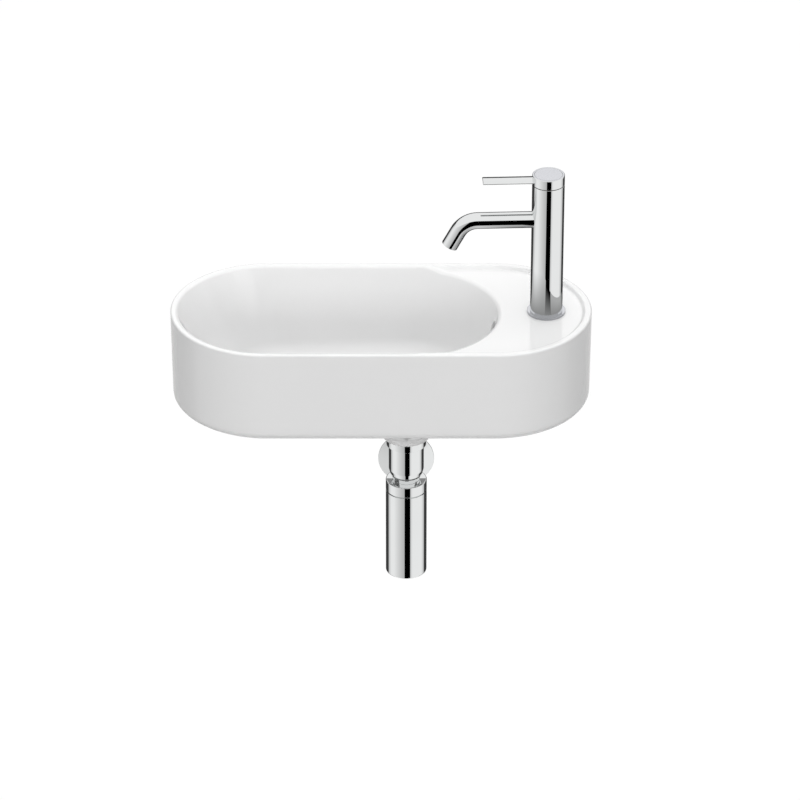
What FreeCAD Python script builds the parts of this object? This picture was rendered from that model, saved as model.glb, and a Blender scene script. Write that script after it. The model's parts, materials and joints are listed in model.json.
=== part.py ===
import FreeCAD, Part
import math
import os
from types import SimpleNamespace
import Sketcher

# A wall-hung hand basin with a cold-water tap on its deck, a push-plug waste and a bottle trap.
# Origin: midway between the two wall bolts, on the flat back of the basin.
# X runs to the user's right, Y into the wall and Z up.

# Driving dimensions in millimetres, angles in degrees
SIZES = {
    # basin outside
    "basin_length": 500.0,
    "basin_depth": 230.0,
    "skirt_depth": 117.2,
    "skirt_inset": 1.2,
    "skirt_wall": 9.0,
    "hollow_inset": 3.6,
    "rim_height": 88.0,
    "rim_width": 7.5,
    "rim_round": 2.4,
    "foot_round": 11.0,
    "back_pad": 0.2,
    "back_pad_margin": 12.0,
    "bolt_spacing": 220.0,
    "bolt_hole_radius": 6.0,
    # tap deck
    "deck_drop": 4.5,
    "deck_rim_width": 8.0,
    "deck_thickness": 13.0,
    "deck_round": 3.5,
    "tap_hole_radius": 16.0,
    # bowl, its floor counted in from the centre of the left end, its right end out from the drain
    "bowl_depth": 101.0,
    "bowl_floor_radius": 77.5,
    "bowl_floor_reach": 29.0,
    "bowl_end_reach": 5.0,
    "bowl_wall": 8.0,
    "floor_thickness": 9.0,
    "cove_radius": 20.0,
    # drain of the bowl, counted in from the centre of the right end, drops counted from the seat
    "drain_x": 105.0,
    "funnel_radius": 60.0,
    "funnel_drop": 6.0,
    "seat_recess": 3.0,
    "drain_bore": 23.0,
    "overflow_chamber_radius": 27.0,
    "overflow_chamber_top": 8.0,
    "overflow_chamber_foot": 40.0,
    "neck_root_radius": 66.0,
    "neck_waist_radius": 45.0,
    "neck_waist_drop": 40.0,
    "neck_radius": 29.5,
    "neck_collar_drop": 57.0,
    "neck_drop": 65.0,
    "neck_bore": 20.0,
    "neck_round": 8.0,
    "neck_end_round": 4.0,
    # overflow way
    "overflow_hole_radius": 9.5,
    "overflow_drop": 26.0,
    "duct_width": 20.0,
    "duct_thickness": 12.0,
    "duct_wall": 6.0,
    # fits and gaps
    "slip_fit": 0.1,
    "body_gap": 0.3,
    "overrun": 2.0,
    # waste
    "waste_gasket_thickness": 1.0,
    "waste_flange_radius": 32.0,
    "waste_flange_edge": 1.2,
    "waste_flange_slope": 4.0,
    "waste_flange_thickness": 3.0,
    "waste_mouth_radius": 19.5,
    "waste_mouth_depth": 3.0,
    "waste_tail_radius": 18.9,
    "waste_tail_bore": 16.5,
    "waste_tail_below": 30.0,
    "waste_slot_width": 8.0,
    "waste_slot_foot": 30.0,
    "waste_slot_height": 20.0,
    "web_foot": 12.0,
    "web_height": 6.0,
    "web_hole_ring": 11.8,
    "web_hole_radius": 3.6,
    "waste_washer_radius": 23.4,
    "waste_washer_thickness": 1.6,
    "backnut_radius": 23.9,
    "backnut_height": 8.8,
    "nut_edge": 0.8,
    # push plug
    "plug_cap_radius": 30.0,
    "plug_cap_edge": 1.3,
    "plug_cap_thickness": 4.1,
    "plug_cap_shoulder": 24.0,
    "plug_cap_shoulder_height": 3.2,
    "plug_seal_radius": 17.2,
    "plug_seal_bore": 10.0,
    "plug_seal_thickness": 1.8,
    "plug_stem_radius": 3.5,
    "plug_piston_radius": 5.0,
    "plug_piston_height": 4.0,
    "plug_piston_foot": 30.0,
    "barrel_radius": 7.0,
    "barrel_bore": 5.3,
    "barrel_flange_radius": 9.5,
    "barrel_flange_height": 2.0,
    "barrel_foot": 6.0,
    "barrel_floor": 2.0,
    "barrel_lip": 2.0,
    "barrel_top": 44.5,
    "spring_wire_radius": 0.5,
    "spring_radius": 4.3,
    "spring_pitch": 3.4,
    # union between waste and trap
    "union_gap": 1.6,
    "union_radius": 21.15,
    "union_straight": 32.0,
    "union_taper": 8.7,
    "union_end_radius": 18.7,
    "inlet_washer_thickness": 2.0,
    "collar_thickness": 3.0,
    "collar_radius": 18.6,
    "tube_radius": 16.0,
    "tube_wall": 1.2,
    # bottle trap
    "head_drop": 59.3,
    "head_height": 13.2,
    "head_plate": 2.5,
    "head_edge": 1.2,
    "head_seal_thickness": 3.0,
    "trap_seam": 0.5,
    "trap_radius": 24.8,
    "trap_wall": 1.8,
    "trap_length": 115.2,
    "trap_neck_radius": 22.2,
    "trap_roof": 2.0,
    "trap_base": 6.0,
    "trap_foot_round": 1.5,
    "dip_clearance": 24.0,
    "plug_hole_radius": 15.3,
    "plug_sink_radius": 18.3,
    "plug_sink_depth": 3.5,
    "plug_head_thickness": 2.2,
    "plug_ring_thickness": 1.0,
    "plug_ring_radius": 17.4,
    "plug_shank_reach": 6.0,
    "plug_slot_length": 22.0,
    "plug_slot_width": 4.0,
    "plug_slot_depth": 1.4,
    # trap outlet
    "outlet_drop": 98.1,
    "boss_radius": 18.6,
    "boss_reach": 42.0,
    "boss_stop": 30.0,
    "boss_mouth_radius": 14.5,
    "outlet_seal_thickness": 3.0,
    "outlet_nut_radius": 22.0,
    "outlet_nut_length": 17.0,
    "outlet_nut_lip": 3.0,
    "outlet_past_wall": 40.0,
    "outlet_end_radius": 15.5,
    "outlet_end_length": 38.0,
    "rosette_radius": 34.4,
    "rosette_edge": 1.8,
    "rosette_height": 7.5,
    "rosette_nose_radius": 19.5,
    # tap, counted out from the right end of the bowl, heights counted from the deck
    "tap_x": 53.3,
    "tap_yaw_angle": 2.5,
    "base_ring_radius": 22.75,
    "base_ring_height": 3.2,
    "base_ring_edge": 1.4,
    "base_gasket_radius": 20.0,
    "base_gasket_thickness": 1.5,
    "column_radius": 19.1,
    "waterway_radius": 5.5,
    "chamber_radius": 14.5,
    "passage_radius": 2.5,
    "passage_offset": 11.5,
    "tail_radius": 10.4,
    "tail_socket": 14.0,
    "tail_below": 50.0,
    "inlet_radius": 8.3,
    "inlet_length": 20.0,
    "tap_washer_radius": 24.0,
    "tap_washer_thickness": 3.0,
    "tap_plate_radius": 23.0,
    "tap_plate_thickness": 2.0,
    "tap_nut_across": 30.0,
    "tap_nut_height": 9.0,
    # spout
    "spout_radius": 9.8,
    "spout_wall": 1.3,
    "spout_height": 123.5,
    "spout_socket": 8.0,
    "spout_straight": 82.4,
    "spout_bend_radius": 26.0,
    "spout_turn_angle": 61.5,
    "spout_tail": 21.3,
    "aerator_length": 8.0,
    "aerator_recess": 0.8,
    "aerator_wall": 1.4,
    "aerator_core_radius": 2.6,
    "aerator_lip": 1.1,
    "aerator_groove_depth": 1.5,
    # headwork, its seat counted from the spout's axis and the other heights from its seat
    "valve_seat": 10.5,
    "column_top": 36.1,
    "seal_thickness": 2.5,
    "seal_radius": 10.2,
    "disc_radius": 10.4,
    "disc_thickness": 3.5,
    "disc_port_radius": 1.9,
    "disc_port_offset": 3.5,
    "disc_slot_width": 4.6,
    "disc_slot_depth": 1.8,
    "spindle_flange": 5.0,
    "spindle_radius": 6.0,
    "spindle_spline_radius": 5.3,
    "spindle_top": 43.2,
    "spindle_groove_height": 25.0,
    "spindle_groove_radius": 4.5,
    "spindle_ring_thickness": 2.2,
    "bush_top": 34.4,
    "bush_notch_width": 7.0,
    "bush_notch_height": 8.5,
    # handle
    "handle_seam": 0.8,
    "handle_height": 11.6,
    "handle_edge": 0.8,
    "handle_wall": 3.0,
    "handle_web": 3.8,
    "handle_hub_radius": 9.0,
    "handle_hub_lift": 0.5,
    "top_disc_radius": 16.4,
    "top_disc_thickness": 1.2,
    "lever_reach": 77.0,
    "lever_root": 14.5,
    "lever_thickness": 2.5,
    "lever_lift": 3.3,
    "lever_root_width": 12.8,
    "lever_tip_width": 14.4,
    "lever_round": 0.8,
    "screw_radius": 2.4,
    "screw_head_radius": 4.4,
    "screw_head_height": 2.4,
    "screw_sink": 2.6,
    "screw_reach": 11.0,
    "screw_hex_radius": 1.7,
    "screw_hex_depth": 1.5,
}


class Size:
    """A length or an angle that keeps the sheet formula it comes from."""

    def __init__(self, value, text):
        self.value = float(value)
        self.text = text

    def __float__(self):
        return self.value

    def __add__(self, other):
        return Size(self.value + float(other), f"({self.text} + {formula(other)})")

    def __sub__(self, other):
        return Size(self.value - float(other), f"({self.text} - {formula(other)})")

    def __mul__(self, other):
        return Size(self.value * float(other), f"({self.text} * {formula(other)})")

    def __truediv__(self, other):
        return Size(self.value / float(other), f"({self.text} / {formula(other)})")

    def __neg__(self):
        return Size(-self.value, f"(-1 * {self.text})")


def formula(number):
    """The sheet formula of a size, or the text of a plain number."""
    return number.text if isinstance(number, Size) else repr(number)


def sine(angle):
    """Sine of an angle in degrees, with its formula."""
    return Size(math.sin(math.radians(angle.value)), f"sin({angle.text})")


def cosine(angle):
    """Cosine of an angle in degrees, with its formula."""
    return Size(math.cos(math.radians(angle.value)), f"cos({angle.text})")


def ring_angles(count):
    """Evenly spread angles round a full turn."""
    return [Size(FULL_TURN * step / count, repr(FULL_TURN * step / count)) for step in range(count)]


doc = FreeCAD.newDocument("hand_basin")
sheet = doc.addObject("Spreadsheet::Sheet", "sizes")


d = SimpleNamespace()
for row, (name, number) in enumerate(SIZES.items(), start=1):
    sheet.set(f"A{row}", name)
    sheet.set(f"B{row}", str(number))
    sheet.setAlias(f"B{row}", name)
    setattr(d, name, Size(number, f"sizes.{name}"))
doc.recompute()

ZERO = Size(0.0, "0")
FULL_TURN = 360.0
WEB_HOLE_COUNT = 6
DUCT_CORNER_SHARE = 0.4
parts = []


# Places shared by the pieces of each group
rim_radius = d.basin_depth / 2
end_centre = d.basin_length / 2 - rim_radius
drain_axis = end_centre - d.drain_x
bowl_right = drain_axis + d.bowl_end_reach
bowl_rim_radius = rim_radius - d.rim_width
tap_axis = bowl_right + bowl_rim_radius + d.tap_x
seat_drop = d.bowl_depth + d.funnel_drop + d.seat_recess
neck_end = seat_drop + d.neck_drop
BASIN_AT = (ZERO, -rim_radius, d.rim_height)
DRAIN_AT = (drain_axis, -rim_radius, d.rim_height - neck_end)
OUTLET_AT = (drain_axis, -rim_radius, d.rim_height - neck_end - d.outlet_drop)
TAP_AT = (tap_axis, -rim_radius, d.rim_height - d.deck_drop)


def vector(x, y, z=ZERO):
    return FreeCAD.Vector(float(x), float(y), float(z))


def register(item, at, yaw=None):
    """Puts a sub-part in its place and keeps it for export."""
    if yaw is not None:
        spin = FreeCAD.Rotation(vector(ZERO, ZERO, 1), yaw.value)
        item.Placement = FreeCAD.Placement(vector(ZERO, ZERO), spin)
        item.setExpression("Placement.Rotation.Angle", yaw.text)
    for axis, size in zip("xyz", at):
        item.setExpression(f"Placement.Base.{axis}", size.text)
    parts.append(item)
    return item


def new_body(label, at, yaw=None):
    body = doc.addObject("PartDesign::Body", label)
    body.Label = label
    return register(body, at, yaw)


def new_sketch(body, role, shift=(ZERO, ZERO, ZERO), turn=None):
    """A sketch on one of the body's own planes, moved and turned within that plane's frame."""
    sketch = body.newObject("Sketcher::SketchObject", body.Label + "_sketch")
    plane = [item for item in body.Origin.OriginFeatures if item.Role == role][0]
    sketch.AttachmentSupport = [(plane, "")]
    sketch.MapMode = "FlatFace"
    if turn is not None:
        spin = FreeCAD.Rotation(vector(ZERO, ZERO, 1), turn.value)
        sketch.AttachmentOffset = FreeCAD.Placement(vector(*shift), spin)
        sketch.setExpression("AttachmentOffset.Rotation.Angle", turn.text)
    for axis, size in zip("xyz", shift):
        sketch.setExpression(f"AttachmentOffset.Base.{axis}", size.text)
    return sketch


def bind(sketch, constraint, size):
    """Adds a dimension and ties it to the sheet."""
    index = sketch.addConstraint(constraint)
    sketch.setExpression(f"Constraints[{index}]", size.text)


def hold(sketch, geometry, point, x, y):
    """Holds one point of a sketch at a place."""
    for kind, size in (("DistanceX", x), ("DistanceY", y)):
        bind(sketch, Sketcher.Constraint(kind, -1, 1, geometry, point, size.value), size)


def draw_polygon(sketch, points):
    """A closed outline of straight lines."""
    first = sketch.GeometryCount
    count = len(points)
    for start, end in zip(points, points[1:] + points[:1]):
        sketch.addGeometry(Part.LineSegment(vector(*start), vector(*end)), False)
    for index in range(count):
        following = first + (index + 1) % count
        sketch.addConstraint(Sketcher.Constraint("Coincident", first + index, 2, following, 1))
        hold(sketch, first + index, 1, *points[index])


def draw_circle(sketch, x, y, radius):
    index = sketch.addGeometry(Part.Circle(vector(x, y), vector(ZERO, ZERO, 1), radius.value), False)
    hold(sketch, index, 3, x, y)
    bind(sketch, Sketcher.Constraint("Radius", index, radius.value), radius)


def draw_box(sketch, x0, y0, x1, y1):
    draw_polygon(sketch, [(x0, y0), (x1, y0), (x1, y1), (x0, y1)])


def draw_end_arc(sketch, x, radius, first, last):
    """Half a circle about a point on the long axis, from one angle to the other."""
    circle = Part.Circle(vector(x, ZERO), vector(ZERO, ZERO, 1), radius.value)
    index = sketch.addGeometry(Part.ArcOfCircle(circle, first, last), False)
    hold(sketch, index, 3, x, ZERO)
    bind(sketch, Sketcher.Constraint("Radius", index, radius.value), radius)
    return index


def draw_stadium(sketch, left, right, radius):
    """Two straight sides joined by half-round ends centred at left and right."""
    quarter = math.pi / 2
    front = sketch.addGeometry(Part.LineSegment(vector(left, -radius), vector(right, -radius)), False)
    right_end = draw_end_arc(sketch, right, radius, -quarter, quarter)
    back = sketch.addGeometry(Part.LineSegment(vector(right, radius), vector(left, radius)), False)
    left_end = draw_end_arc(sketch, left, radius, quarter, 3 * quarter)
    for one, other in ((front, right_end), (right_end, back), (back, left_end), (left_end, front)):
        sketch.addConstraint(Sketcher.Constraint("Tangent", one, 2, other, 1))


def draw_half_stadium(sketch, left, right, radius):
    """A straight left edge, two sides and a half-round right end."""
    quarter = math.pi / 2
    front = sketch.addGeometry(Part.LineSegment(vector(left, -radius), vector(right, -radius)), False)
    end = draw_end_arc(sketch, right, radius, -quarter, quarter)
    back = sketch.addGeometry(Part.LineSegment(vector(right, radius), vector(left, radius)), False)
    edge = sketch.addGeometry(Part.LineSegment(vector(left, radius), vector(left, -radius)), False)
    sketch.addConstraint(Sketcher.Constraint("Tangent", front, 2, end, 1))
    sketch.addConstraint(Sketcher.Constraint("Tangent", end, 2, back, 1))
    sketch.addConstraint(Sketcher.Constraint("Coincident", back, 2, edge, 1))
    sketch.addConstraint(Sketcher.Constraint("Coincident", edge, 2, front, 1))
    sketch.addConstraint(Sketcher.Constraint("Horizontal", front))
    sketch.addConstraint(Sketcher.Constraint("Horizontal", back))
    sketch.addConstraint(Sketcher.Constraint("Vertical", edge))
    bind(sketch, Sketcher.Constraint("DistanceX", -1, 1, front, 1, left.value), left)


def revolve(body, sketch, axis="V_Axis", kind="Revolution"):
    feature = body.newObject(f"PartDesign::{kind}", f"{body.Label}_{kind}")
    feature.Profile = sketch
    feature.ReferenceAxis = (sketch, [axis])
    feature.Angle = FULL_TURN
    return feature


def extrude(body, sketch, length, kind="Pad", reverse=False, both_ways=False):
    feature = body.newObject(f"PartDesign::{kind}", f"{body.Label}_{kind}")
    feature.Profile = sketch
    feature.Type = "Length"
    feature.setExpression("Length", length.text)
    feature.Reversed = reverse
    feature.Midplane = both_ways
    return feature


def loft(body, first, last, kind):
    feature = body.newObject(f"PartDesign::{kind}", f"{body.Label}_{kind}")
    feature.Profile = first
    feature.Sections = [last]
    return feature


def must_cut(body, before):
    """Checks that a cut has taken material away."""
    doc.recompute()
    if not body.Shape.Volume < before:
        raise RuntimeError(f"{body.Label}: a cut removed nothing")


def cut(body, sketch, length, reverse=False, both_ways=False):
    doc.recompute()
    before = body.Shape.Volume
    feature = extrude(body, sketch, length, "Pocket", reverse, both_ways)
    must_cut(body, before)
    return feature


def bore(body, sketch, axis="V_Axis"):
    doc.recompute()
    before = body.Shape.Volume
    feature = revolve(body, sketch, axis, "Groove")
    must_cut(body, before)
    return feature


def soften(body, radius, test, kind="Fillet", size_name="Radius"):
    """Rounds or bevels every edge of the body that passes the test."""
    doc.recompute()
    tip = body.Tip
    edges = [f"Edge{i}" for i, edge in enumerate(tip.Shape.Edges, start=1) if test(edge)]
    if not edges:
        raise RuntimeError(f"{body.Label}: no edge to soften")
    feature = body.newObject(f"PartDesign::{kind}", f"{body.Label}_{kind}")
    feature.Base = (tip, edges)
    feature.setExpression(size_name, radius.text)
    doc.recompute()
    return feature


def flat_at(edge, height):
    """True for an edge that lies at one height."""
    box = edge.BoundBox
    near = d.slip_fit.value / 10
    return abs(box.ZMin - height.value) < near and abs(box.ZMax - height.value) < near


def turned(label, outline, at=DRAIN_AT, yaw=None, shift=(ZERO, ZERO, ZERO), turn=None):
    """A lathe-turned piece: an outline of (radius, height) about an upright axis."""
    body = new_body(label, at, yaw)
    sketch = new_sketch(body, "XZ_Plane", shift, turn)
    draw_polygon(sketch, outline)
    revolve(body, sketch)
    return body


def turned_along_y(label, outline):
    """A lathe-turned piece: an outline of (reach, radius) about the trap's outlet axis."""
    body = new_body(label, OUTLET_AT)
    sketch = new_sketch(body, "YZ_Plane")
    draw_polygon(sketch, outline)
    revolve(body, sketch, "H_Axis")
    return body


def ring(label, inner, outer, foot, height, at=DRAIN_AT, yaw=None):
    """A plain washer or seal."""
    top = foot + height
    return turned(label, [(inner, foot), (outer, foot), (outer, top), (inner, top)], at, yaw)


def bevelled_ring(label, inner, outer, foot, height, edge, at=DRAIN_AT):
    """A round nut with both outer edges bevelled."""
    top = foot + height
    outline = [
        (inner, foot), (outer - edge, foot), (outer, foot + edge),
        (outer, top - edge), (outer - edge, top), (inner, top),
    ]
    return turned(label, outline, at)


# Basin, in a frame at the middle of its rim

bowl_floor_left = d.bowl_floor_reach - end_centre
bowl_slope = (bowl_rim_radius - d.bowl_floor_radius) / d.bowl_depth
deck_underside = d.deck_drop + d.deck_thickness
foot_radius = rim_radius - d.skirt_inset / 2
foot_centre = end_centre - d.skirt_inset / 2
chamber_roof = seat_drop + d.overflow_chamber_top
chamber_floor = seat_drop + d.overflow_chamber_foot
neck_waist = seat_drop + d.neck_waist_drop
neck_collar = seat_drop + d.neck_collar_drop
seat_radius = d.waste_flange_radius + d.body_gap
duct_roof = seat_drop + d.duct_wall
duct_foot = duct_roof + d.duct_thickness


def level(body, drop, back=ZERO):
    """A level sketch below the rim, moved back towards the wall."""
    return new_sketch(body, "XY_Plane", (ZERO, back, -drop))


def basin_shell(body):
    """Outside drafted at the front and ends, a flat ground on the back, and the bowl hanging inside."""
    top = level(body, ZERO, -d.back_pad)
    draw_stadium(top, -end_centre, end_centre, rim_radius)
    foot = level(body, d.skirt_depth, d.skirt_inset / 2 - d.back_pad)
    draw_stadium(foot, -foot_centre, foot_centre, foot_radius)
    loft(body, top, foot, "AdditiveLoft")
    soften(body, d.foot_round, lambda edge: flat_at(edge, -d.skirt_depth))

    pad = new_sketch(body, "XZ_Plane", (ZERO, ZERO, -rim_radius))
    pad_reach = end_centre - d.back_pad_margin
    draw_box(pad, -pad_reach, d.back_pad_margin - d.skirt_depth, pad_reach, -d.back_pad_margin)
    extrude(body, pad, d.skirt_wall / 2)

    hollow = level(body, d.skirt_depth, d.hollow_inset / 2)
    hollow_end = end_centre - d.hollow_inset / 2
    draw_stadium(hollow, -hollow_end, hollow_end, rim_radius - d.hollow_inset / 2 - d.skirt_wall)
    cut(body, hollow, d.skirt_depth - deck_underside, reverse=True)

    shell_foot = d.bowl_depth + d.floor_thickness
    shell_top = level(body, deck_underside)
    top_radius = bowl_rim_radius - bowl_slope * deck_underside + d.bowl_wall
    draw_stadium(shell_top, -end_centre, bowl_right, top_radius)
    shell_low = level(body, shell_foot)
    draw_stadium(shell_low, bowl_floor_left, bowl_right, d.bowl_floor_radius + d.bowl_wall)
    loft(body, shell_top, shell_low, "AdditiveLoft")
    soften(body, d.cove_radius + d.bowl_wall, lambda edge: flat_at(edge, -shell_foot))


def basin_neck(body):
    """Flared ceramic neck under the drain."""
    sketch = new_sketch(body, "XZ_Plane", (drain_axis, ZERO, ZERO))
    root = d.bowl_depth + d.floor_thickness
    draw_polygon(sketch, [
        (ZERO, -d.bowl_depth), (d.neck_root_radius, -d.bowl_depth), (d.neck_root_radius, -root),
        (d.neck_waist_radius, -neck_waist), (d.neck_radius, -neck_collar),
        (d.neck_radius, -neck_end), (ZERO, -neck_end),
    ])
    revolve(body, sketch)
    soften(body, d.neck_round, lambda edge: flat_at(edge, -neck_collar))
    soften(body, d.neck_end_round, lambda edge: flat_at(edge, -neck_end))


def duct_outline(sunk, thickness, top, roof, foot, inside):
    """Side view of the overflow duct: down the bowl's right wall, then in to the neck."""
    def wall_x(drop):
        return bowl_right + bowl_rim_radius + d.bowl_wall - bowl_slope * drop

    corner = (d.cove_radius + d.bowl_wall) * DUCT_CORNER_SHARE
    return [
        (wall_x(top) - sunk, -top), (wall_x(top) + thickness, -top),
        (wall_x(foot) + thickness, -foot), (inside, -foot), (inside, -roof),
        (wall_x(roof) - sunk - corner, -roof),
        (wall_x(roof - corner) - sunk, -(roof - corner)),
    ]


def basin_duct(body):
    """Solid of the overflow duct; its way is cut once the bowl is open."""
    sketch = new_sketch(body, "XZ_Plane")
    sunk = d.bowl_wall / 2
    draw_polygon(sketch, duct_outline(
        sunk, d.duct_thickness + d.duct_wall, deck_underside - d.deck_thickness / 2,
        d.bowl_depth + d.floor_thickness - sunk, duct_foot + d.duct_wall,
        drain_axis + d.overflow_chamber_radius,
    ))
    extrude(body, sketch, d.duct_width + d.duct_wall * 2, both_ways=True)


def basin_bowl(body):
    """Bowl, tap deck and the funnel, seat and bore of the drain."""
    rim = level(body, ZERO)
    draw_stadium(rim, -end_centre, bowl_right, bowl_rim_radius)
    floor = level(body, d.bowl_depth)
    draw_stadium(floor, bowl_floor_left, bowl_right, d.bowl_floor_radius)
    loft(body, rim, floor, "SubtractiveLoft")
    soften(body, d.cove_radius, is_bowl_edge)

    deck_radius = rim_radius - d.deck_rim_width
    deck_top = level(body, ZERO)
    draw_half_stadium(deck_top, bowl_right, end_centre, deck_radius)
    deck_floor = level(body, d.deck_drop)
    draw_half_stadium(deck_floor, bowl_right, end_centre, deck_radius - bowl_slope * d.deck_drop)
    loft(body, deck_top, deck_floor, "SubtractiveLoft")

    drain = new_sketch(body, "XZ_Plane", (drain_axis, ZERO, ZERO))
    funnel_foot = d.bowl_depth + d.funnel_drop
    over = d.bowl_depth - d.overrun
    draw_polygon(drain, [
        (ZERO, -over), (d.funnel_radius, -over), (d.funnel_radius, -d.bowl_depth),
        (seat_radius, -funnel_foot), (seat_radius, -seat_drop), (d.drain_bore, -seat_drop),
        (d.drain_bore, -chamber_roof),
        (d.overflow_chamber_radius, -chamber_roof),
        (d.overflow_chamber_radius, -chamber_floor),
        (d.neck_bore, -chamber_floor), (d.neck_bore, -neck_end - d.overrun),
        (ZERO, -neck_end - d.overrun),
    ])
    bore(body, drain)


def is_bowl_edge(edge):
    """True for the outline of the bowl's floor, and not for the shell round it."""
    limit = d.bowl_floor_radius.value + d.slip_fit.value
    return flat_at(edge, -d.bowl_depth) and max(-edge.BoundBox.YMin, edge.BoundBox.YMax) < limit


def is_deck_lip(edge):
    """True for the edge where the tap deck drops into the bowl."""
    box = edge.BoundBox
    right_end = bowl_right.value + bowl_rim_radius.value
    return flat_at(edge, -d.deck_drop) and box.XMax < right_end and box.YLength > bowl_rim_radius.value


def basin_ways(body):
    """Overflow hole and duct, tap hole and wall bolt holes."""
    duct = new_sketch(body, "XZ_Plane")
    draw_polygon(duct, duct_outline(
        ZERO, d.duct_thickness, d.overflow_drop - d.overflow_hole_radius - d.duct_wall / 2,
        duct_roof, duct_foot, drain_axis + (d.drain_bore + d.overflow_chamber_radius) / 2,
    ))
    cut(body, duct, d.duct_width, both_ways=True)

    wall_here = bowl_right + bowl_rim_radius - bowl_slope * d.overflow_drop
    hole = new_sketch(body, "YZ_Plane", (ZERO, ZERO, wall_here - d.bowl_wall))
    draw_circle(hole, ZERO, -d.overflow_drop, d.overflow_hole_radius)
    cut(body, hole, d.bowl_wall * 2 + d.duct_thickness / 2, reverse=True)

    tap_hole = level(body, deck_underside + d.overrun)
    draw_circle(tap_hole, tap_axis, ZERO, d.tap_hole_radius)
    cut(body, tap_hole, d.deck_thickness + d.overrun * 2, reverse=True)

    bolts = new_sketch(body, "XZ_Plane", (ZERO, ZERO, -rim_radius - d.overrun))
    for side in (-1, 1):
        draw_circle(bolts, d.bolt_spacing / 2 * side, -d.rim_height, d.bolt_hole_radius)
    cut(body, bolts, d.skirt_wall + d.overrun * 2, reverse=True)


def basin():
    body = new_body("basin", BASIN_AT)
    basin_shell(body)
    basin_neck(body)
    basin_duct(body)
    basin_bowl(body)
    basin_ways(body)
    soften(body, d.deck_round, is_deck_lip)
    soften(body, d.rim_round, lambda edge: flat_at(edge, ZERO))
    return body


basin()


# Waste, heights counted from the end of the ceramic neck

seat_up = d.neck_drop
flange_foot = seat_up + d.waste_gasket_thickness
flange_top = flange_foot + d.waste_flange_thickness


def waste_body():
    """Flanged tube with overflow slots and a pierced web that carries the plug's barrel."""
    barrel_hole = d.barrel_radius + d.slip_fit
    web_top = d.web_foot + d.web_height
    body = turned("waste_body", [
        (d.waste_tail_bore, -d.waste_tail_below), (d.waste_tail_radius, -d.waste_tail_below),
        (d.waste_tail_radius, flange_foot), (d.waste_flange_radius, flange_foot),
        (d.waste_flange_radius, flange_foot + d.waste_flange_edge),
        (d.waste_flange_radius - d.waste_flange_slope, flange_top),
        (d.waste_mouth_radius, flange_top),
        (d.waste_tail_bore, flange_top - d.waste_mouth_depth),
        (d.waste_tail_bore, web_top), (barrel_hole, web_top),
        (barrel_hole, d.web_foot), (d.waste_tail_bore, d.web_foot),
    ])
    holes = new_sketch(body, "XY_Plane", (ZERO, ZERO, d.web_foot - d.overrun))
    for turn in ring_angles(WEB_HOLE_COUNT):
        draw_circle(holes, d.web_hole_ring * cosine(turn), d.web_hole_ring * sine(turn), d.web_hole_radius)
    cut(body, holes, d.web_height + d.overrun * 2, reverse=True)
    half = d.waste_slot_width / 2
    for role in ("XZ_Plane", "YZ_Plane"):
        slot = new_sketch(body, role)
        draw_box(slot, -half, d.waste_slot_foot, half, d.waste_slot_foot + d.waste_slot_height)
        cut(body, slot, d.waste_flange_radius * 2, both_ways=True)


waste_body()
ring("waste_gasket", d.drain_bore, d.waste_flange_radius, seat_up, d.waste_gasket_thickness)
ring("waste_washer", d.waste_tail_radius + d.slip_fit, d.waste_washer_radius,
     -d.waste_washer_thickness, d.waste_washer_thickness)
backnut_foot = -d.waste_washer_thickness - d.backnut_height
bevelled_ring("waste_backnut", d.waste_tail_radius + d.slip_fit, d.backnut_radius, backnut_foot,
              d.backnut_height, d.nut_edge)


# Push plug, closed

plug_foot = flange_top + d.body_gap
plug_top = plug_foot + d.plug_cap_thickness
piston_foot = d.plug_piston_foot
turned("plug_cap", [
    (ZERO, plug_foot), (d.plug_cap_radius, plug_foot),
    (d.plug_cap_radius, plug_foot + d.plug_cap_edge),
    (d.plug_cap_shoulder, plug_foot + d.plug_cap_shoulder_height), (ZERO, plug_top),
])
ring("plug_seal", d.plug_seal_bore, d.plug_seal_radius, plug_foot - d.plug_seal_thickness,
     d.plug_seal_thickness)
turned("plug_stem", [
    (ZERO, piston_foot), (d.plug_piston_radius, piston_foot),
    (d.plug_piston_radius, piston_foot + d.plug_piston_height),
    (d.plug_stem_radius, piston_foot + d.plug_piston_height),
    (d.plug_stem_radius, plug_foot), (ZERO, plug_foot),
])
barrel_seat = d.web_foot + d.web_height
barrel_roof = d.barrel_top - d.barrel_lip
turned("plug_barrel", [
    (ZERO, d.barrel_foot), (d.barrel_radius, d.barrel_foot), (d.barrel_radius, barrel_seat),
    (d.barrel_flange_radius, barrel_seat),
    (d.barrel_flange_radius, barrel_seat + d.barrel_flange_height),
    (d.barrel_radius, barrel_seat + d.barrel_flange_height), (d.barrel_radius, d.barrel_top),
    (d.plug_stem_radius + d.body_gap, d.barrel_top), (d.plug_stem_radius + d.body_gap, barrel_roof),
    (d.barrel_bore, barrel_roof), (d.barrel_bore, d.barrel_foot + d.barrel_floor),
    (ZERO, d.barrel_foot + d.barrel_floor),
])


def plug_spring():
    """Coil between the barrel's floor and the piston."""
    wire = d.spring_wire_radius
    foot = d.barrel_foot + d.barrel_floor + wire + d.slip_fit
    height = piston_foot - wire - d.slip_fit - foot
    coil = Part.Wire(Part.makeHelix(d.spring_pitch.value, height.value, d.spring_radius.value).Edges)
    start = coil.Edges[0]
    along = start.tangentAt(start.FirstParameter)
    section = Part.Wire(Part.makeCircle(wire.value, start.valueAt(start.FirstParameter), along))
    item = doc.addObject("Part::Feature", "plug_spring")
    item.Label = "plug_spring"
    item.Shape = coil.makePipeShell([section], True, True)
    return register(item, (DRAIN_AT[0], DRAIN_AT[1], DRAIN_AT[2] + foot))


plug_spring()


# Union between the waste and the trap

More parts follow.
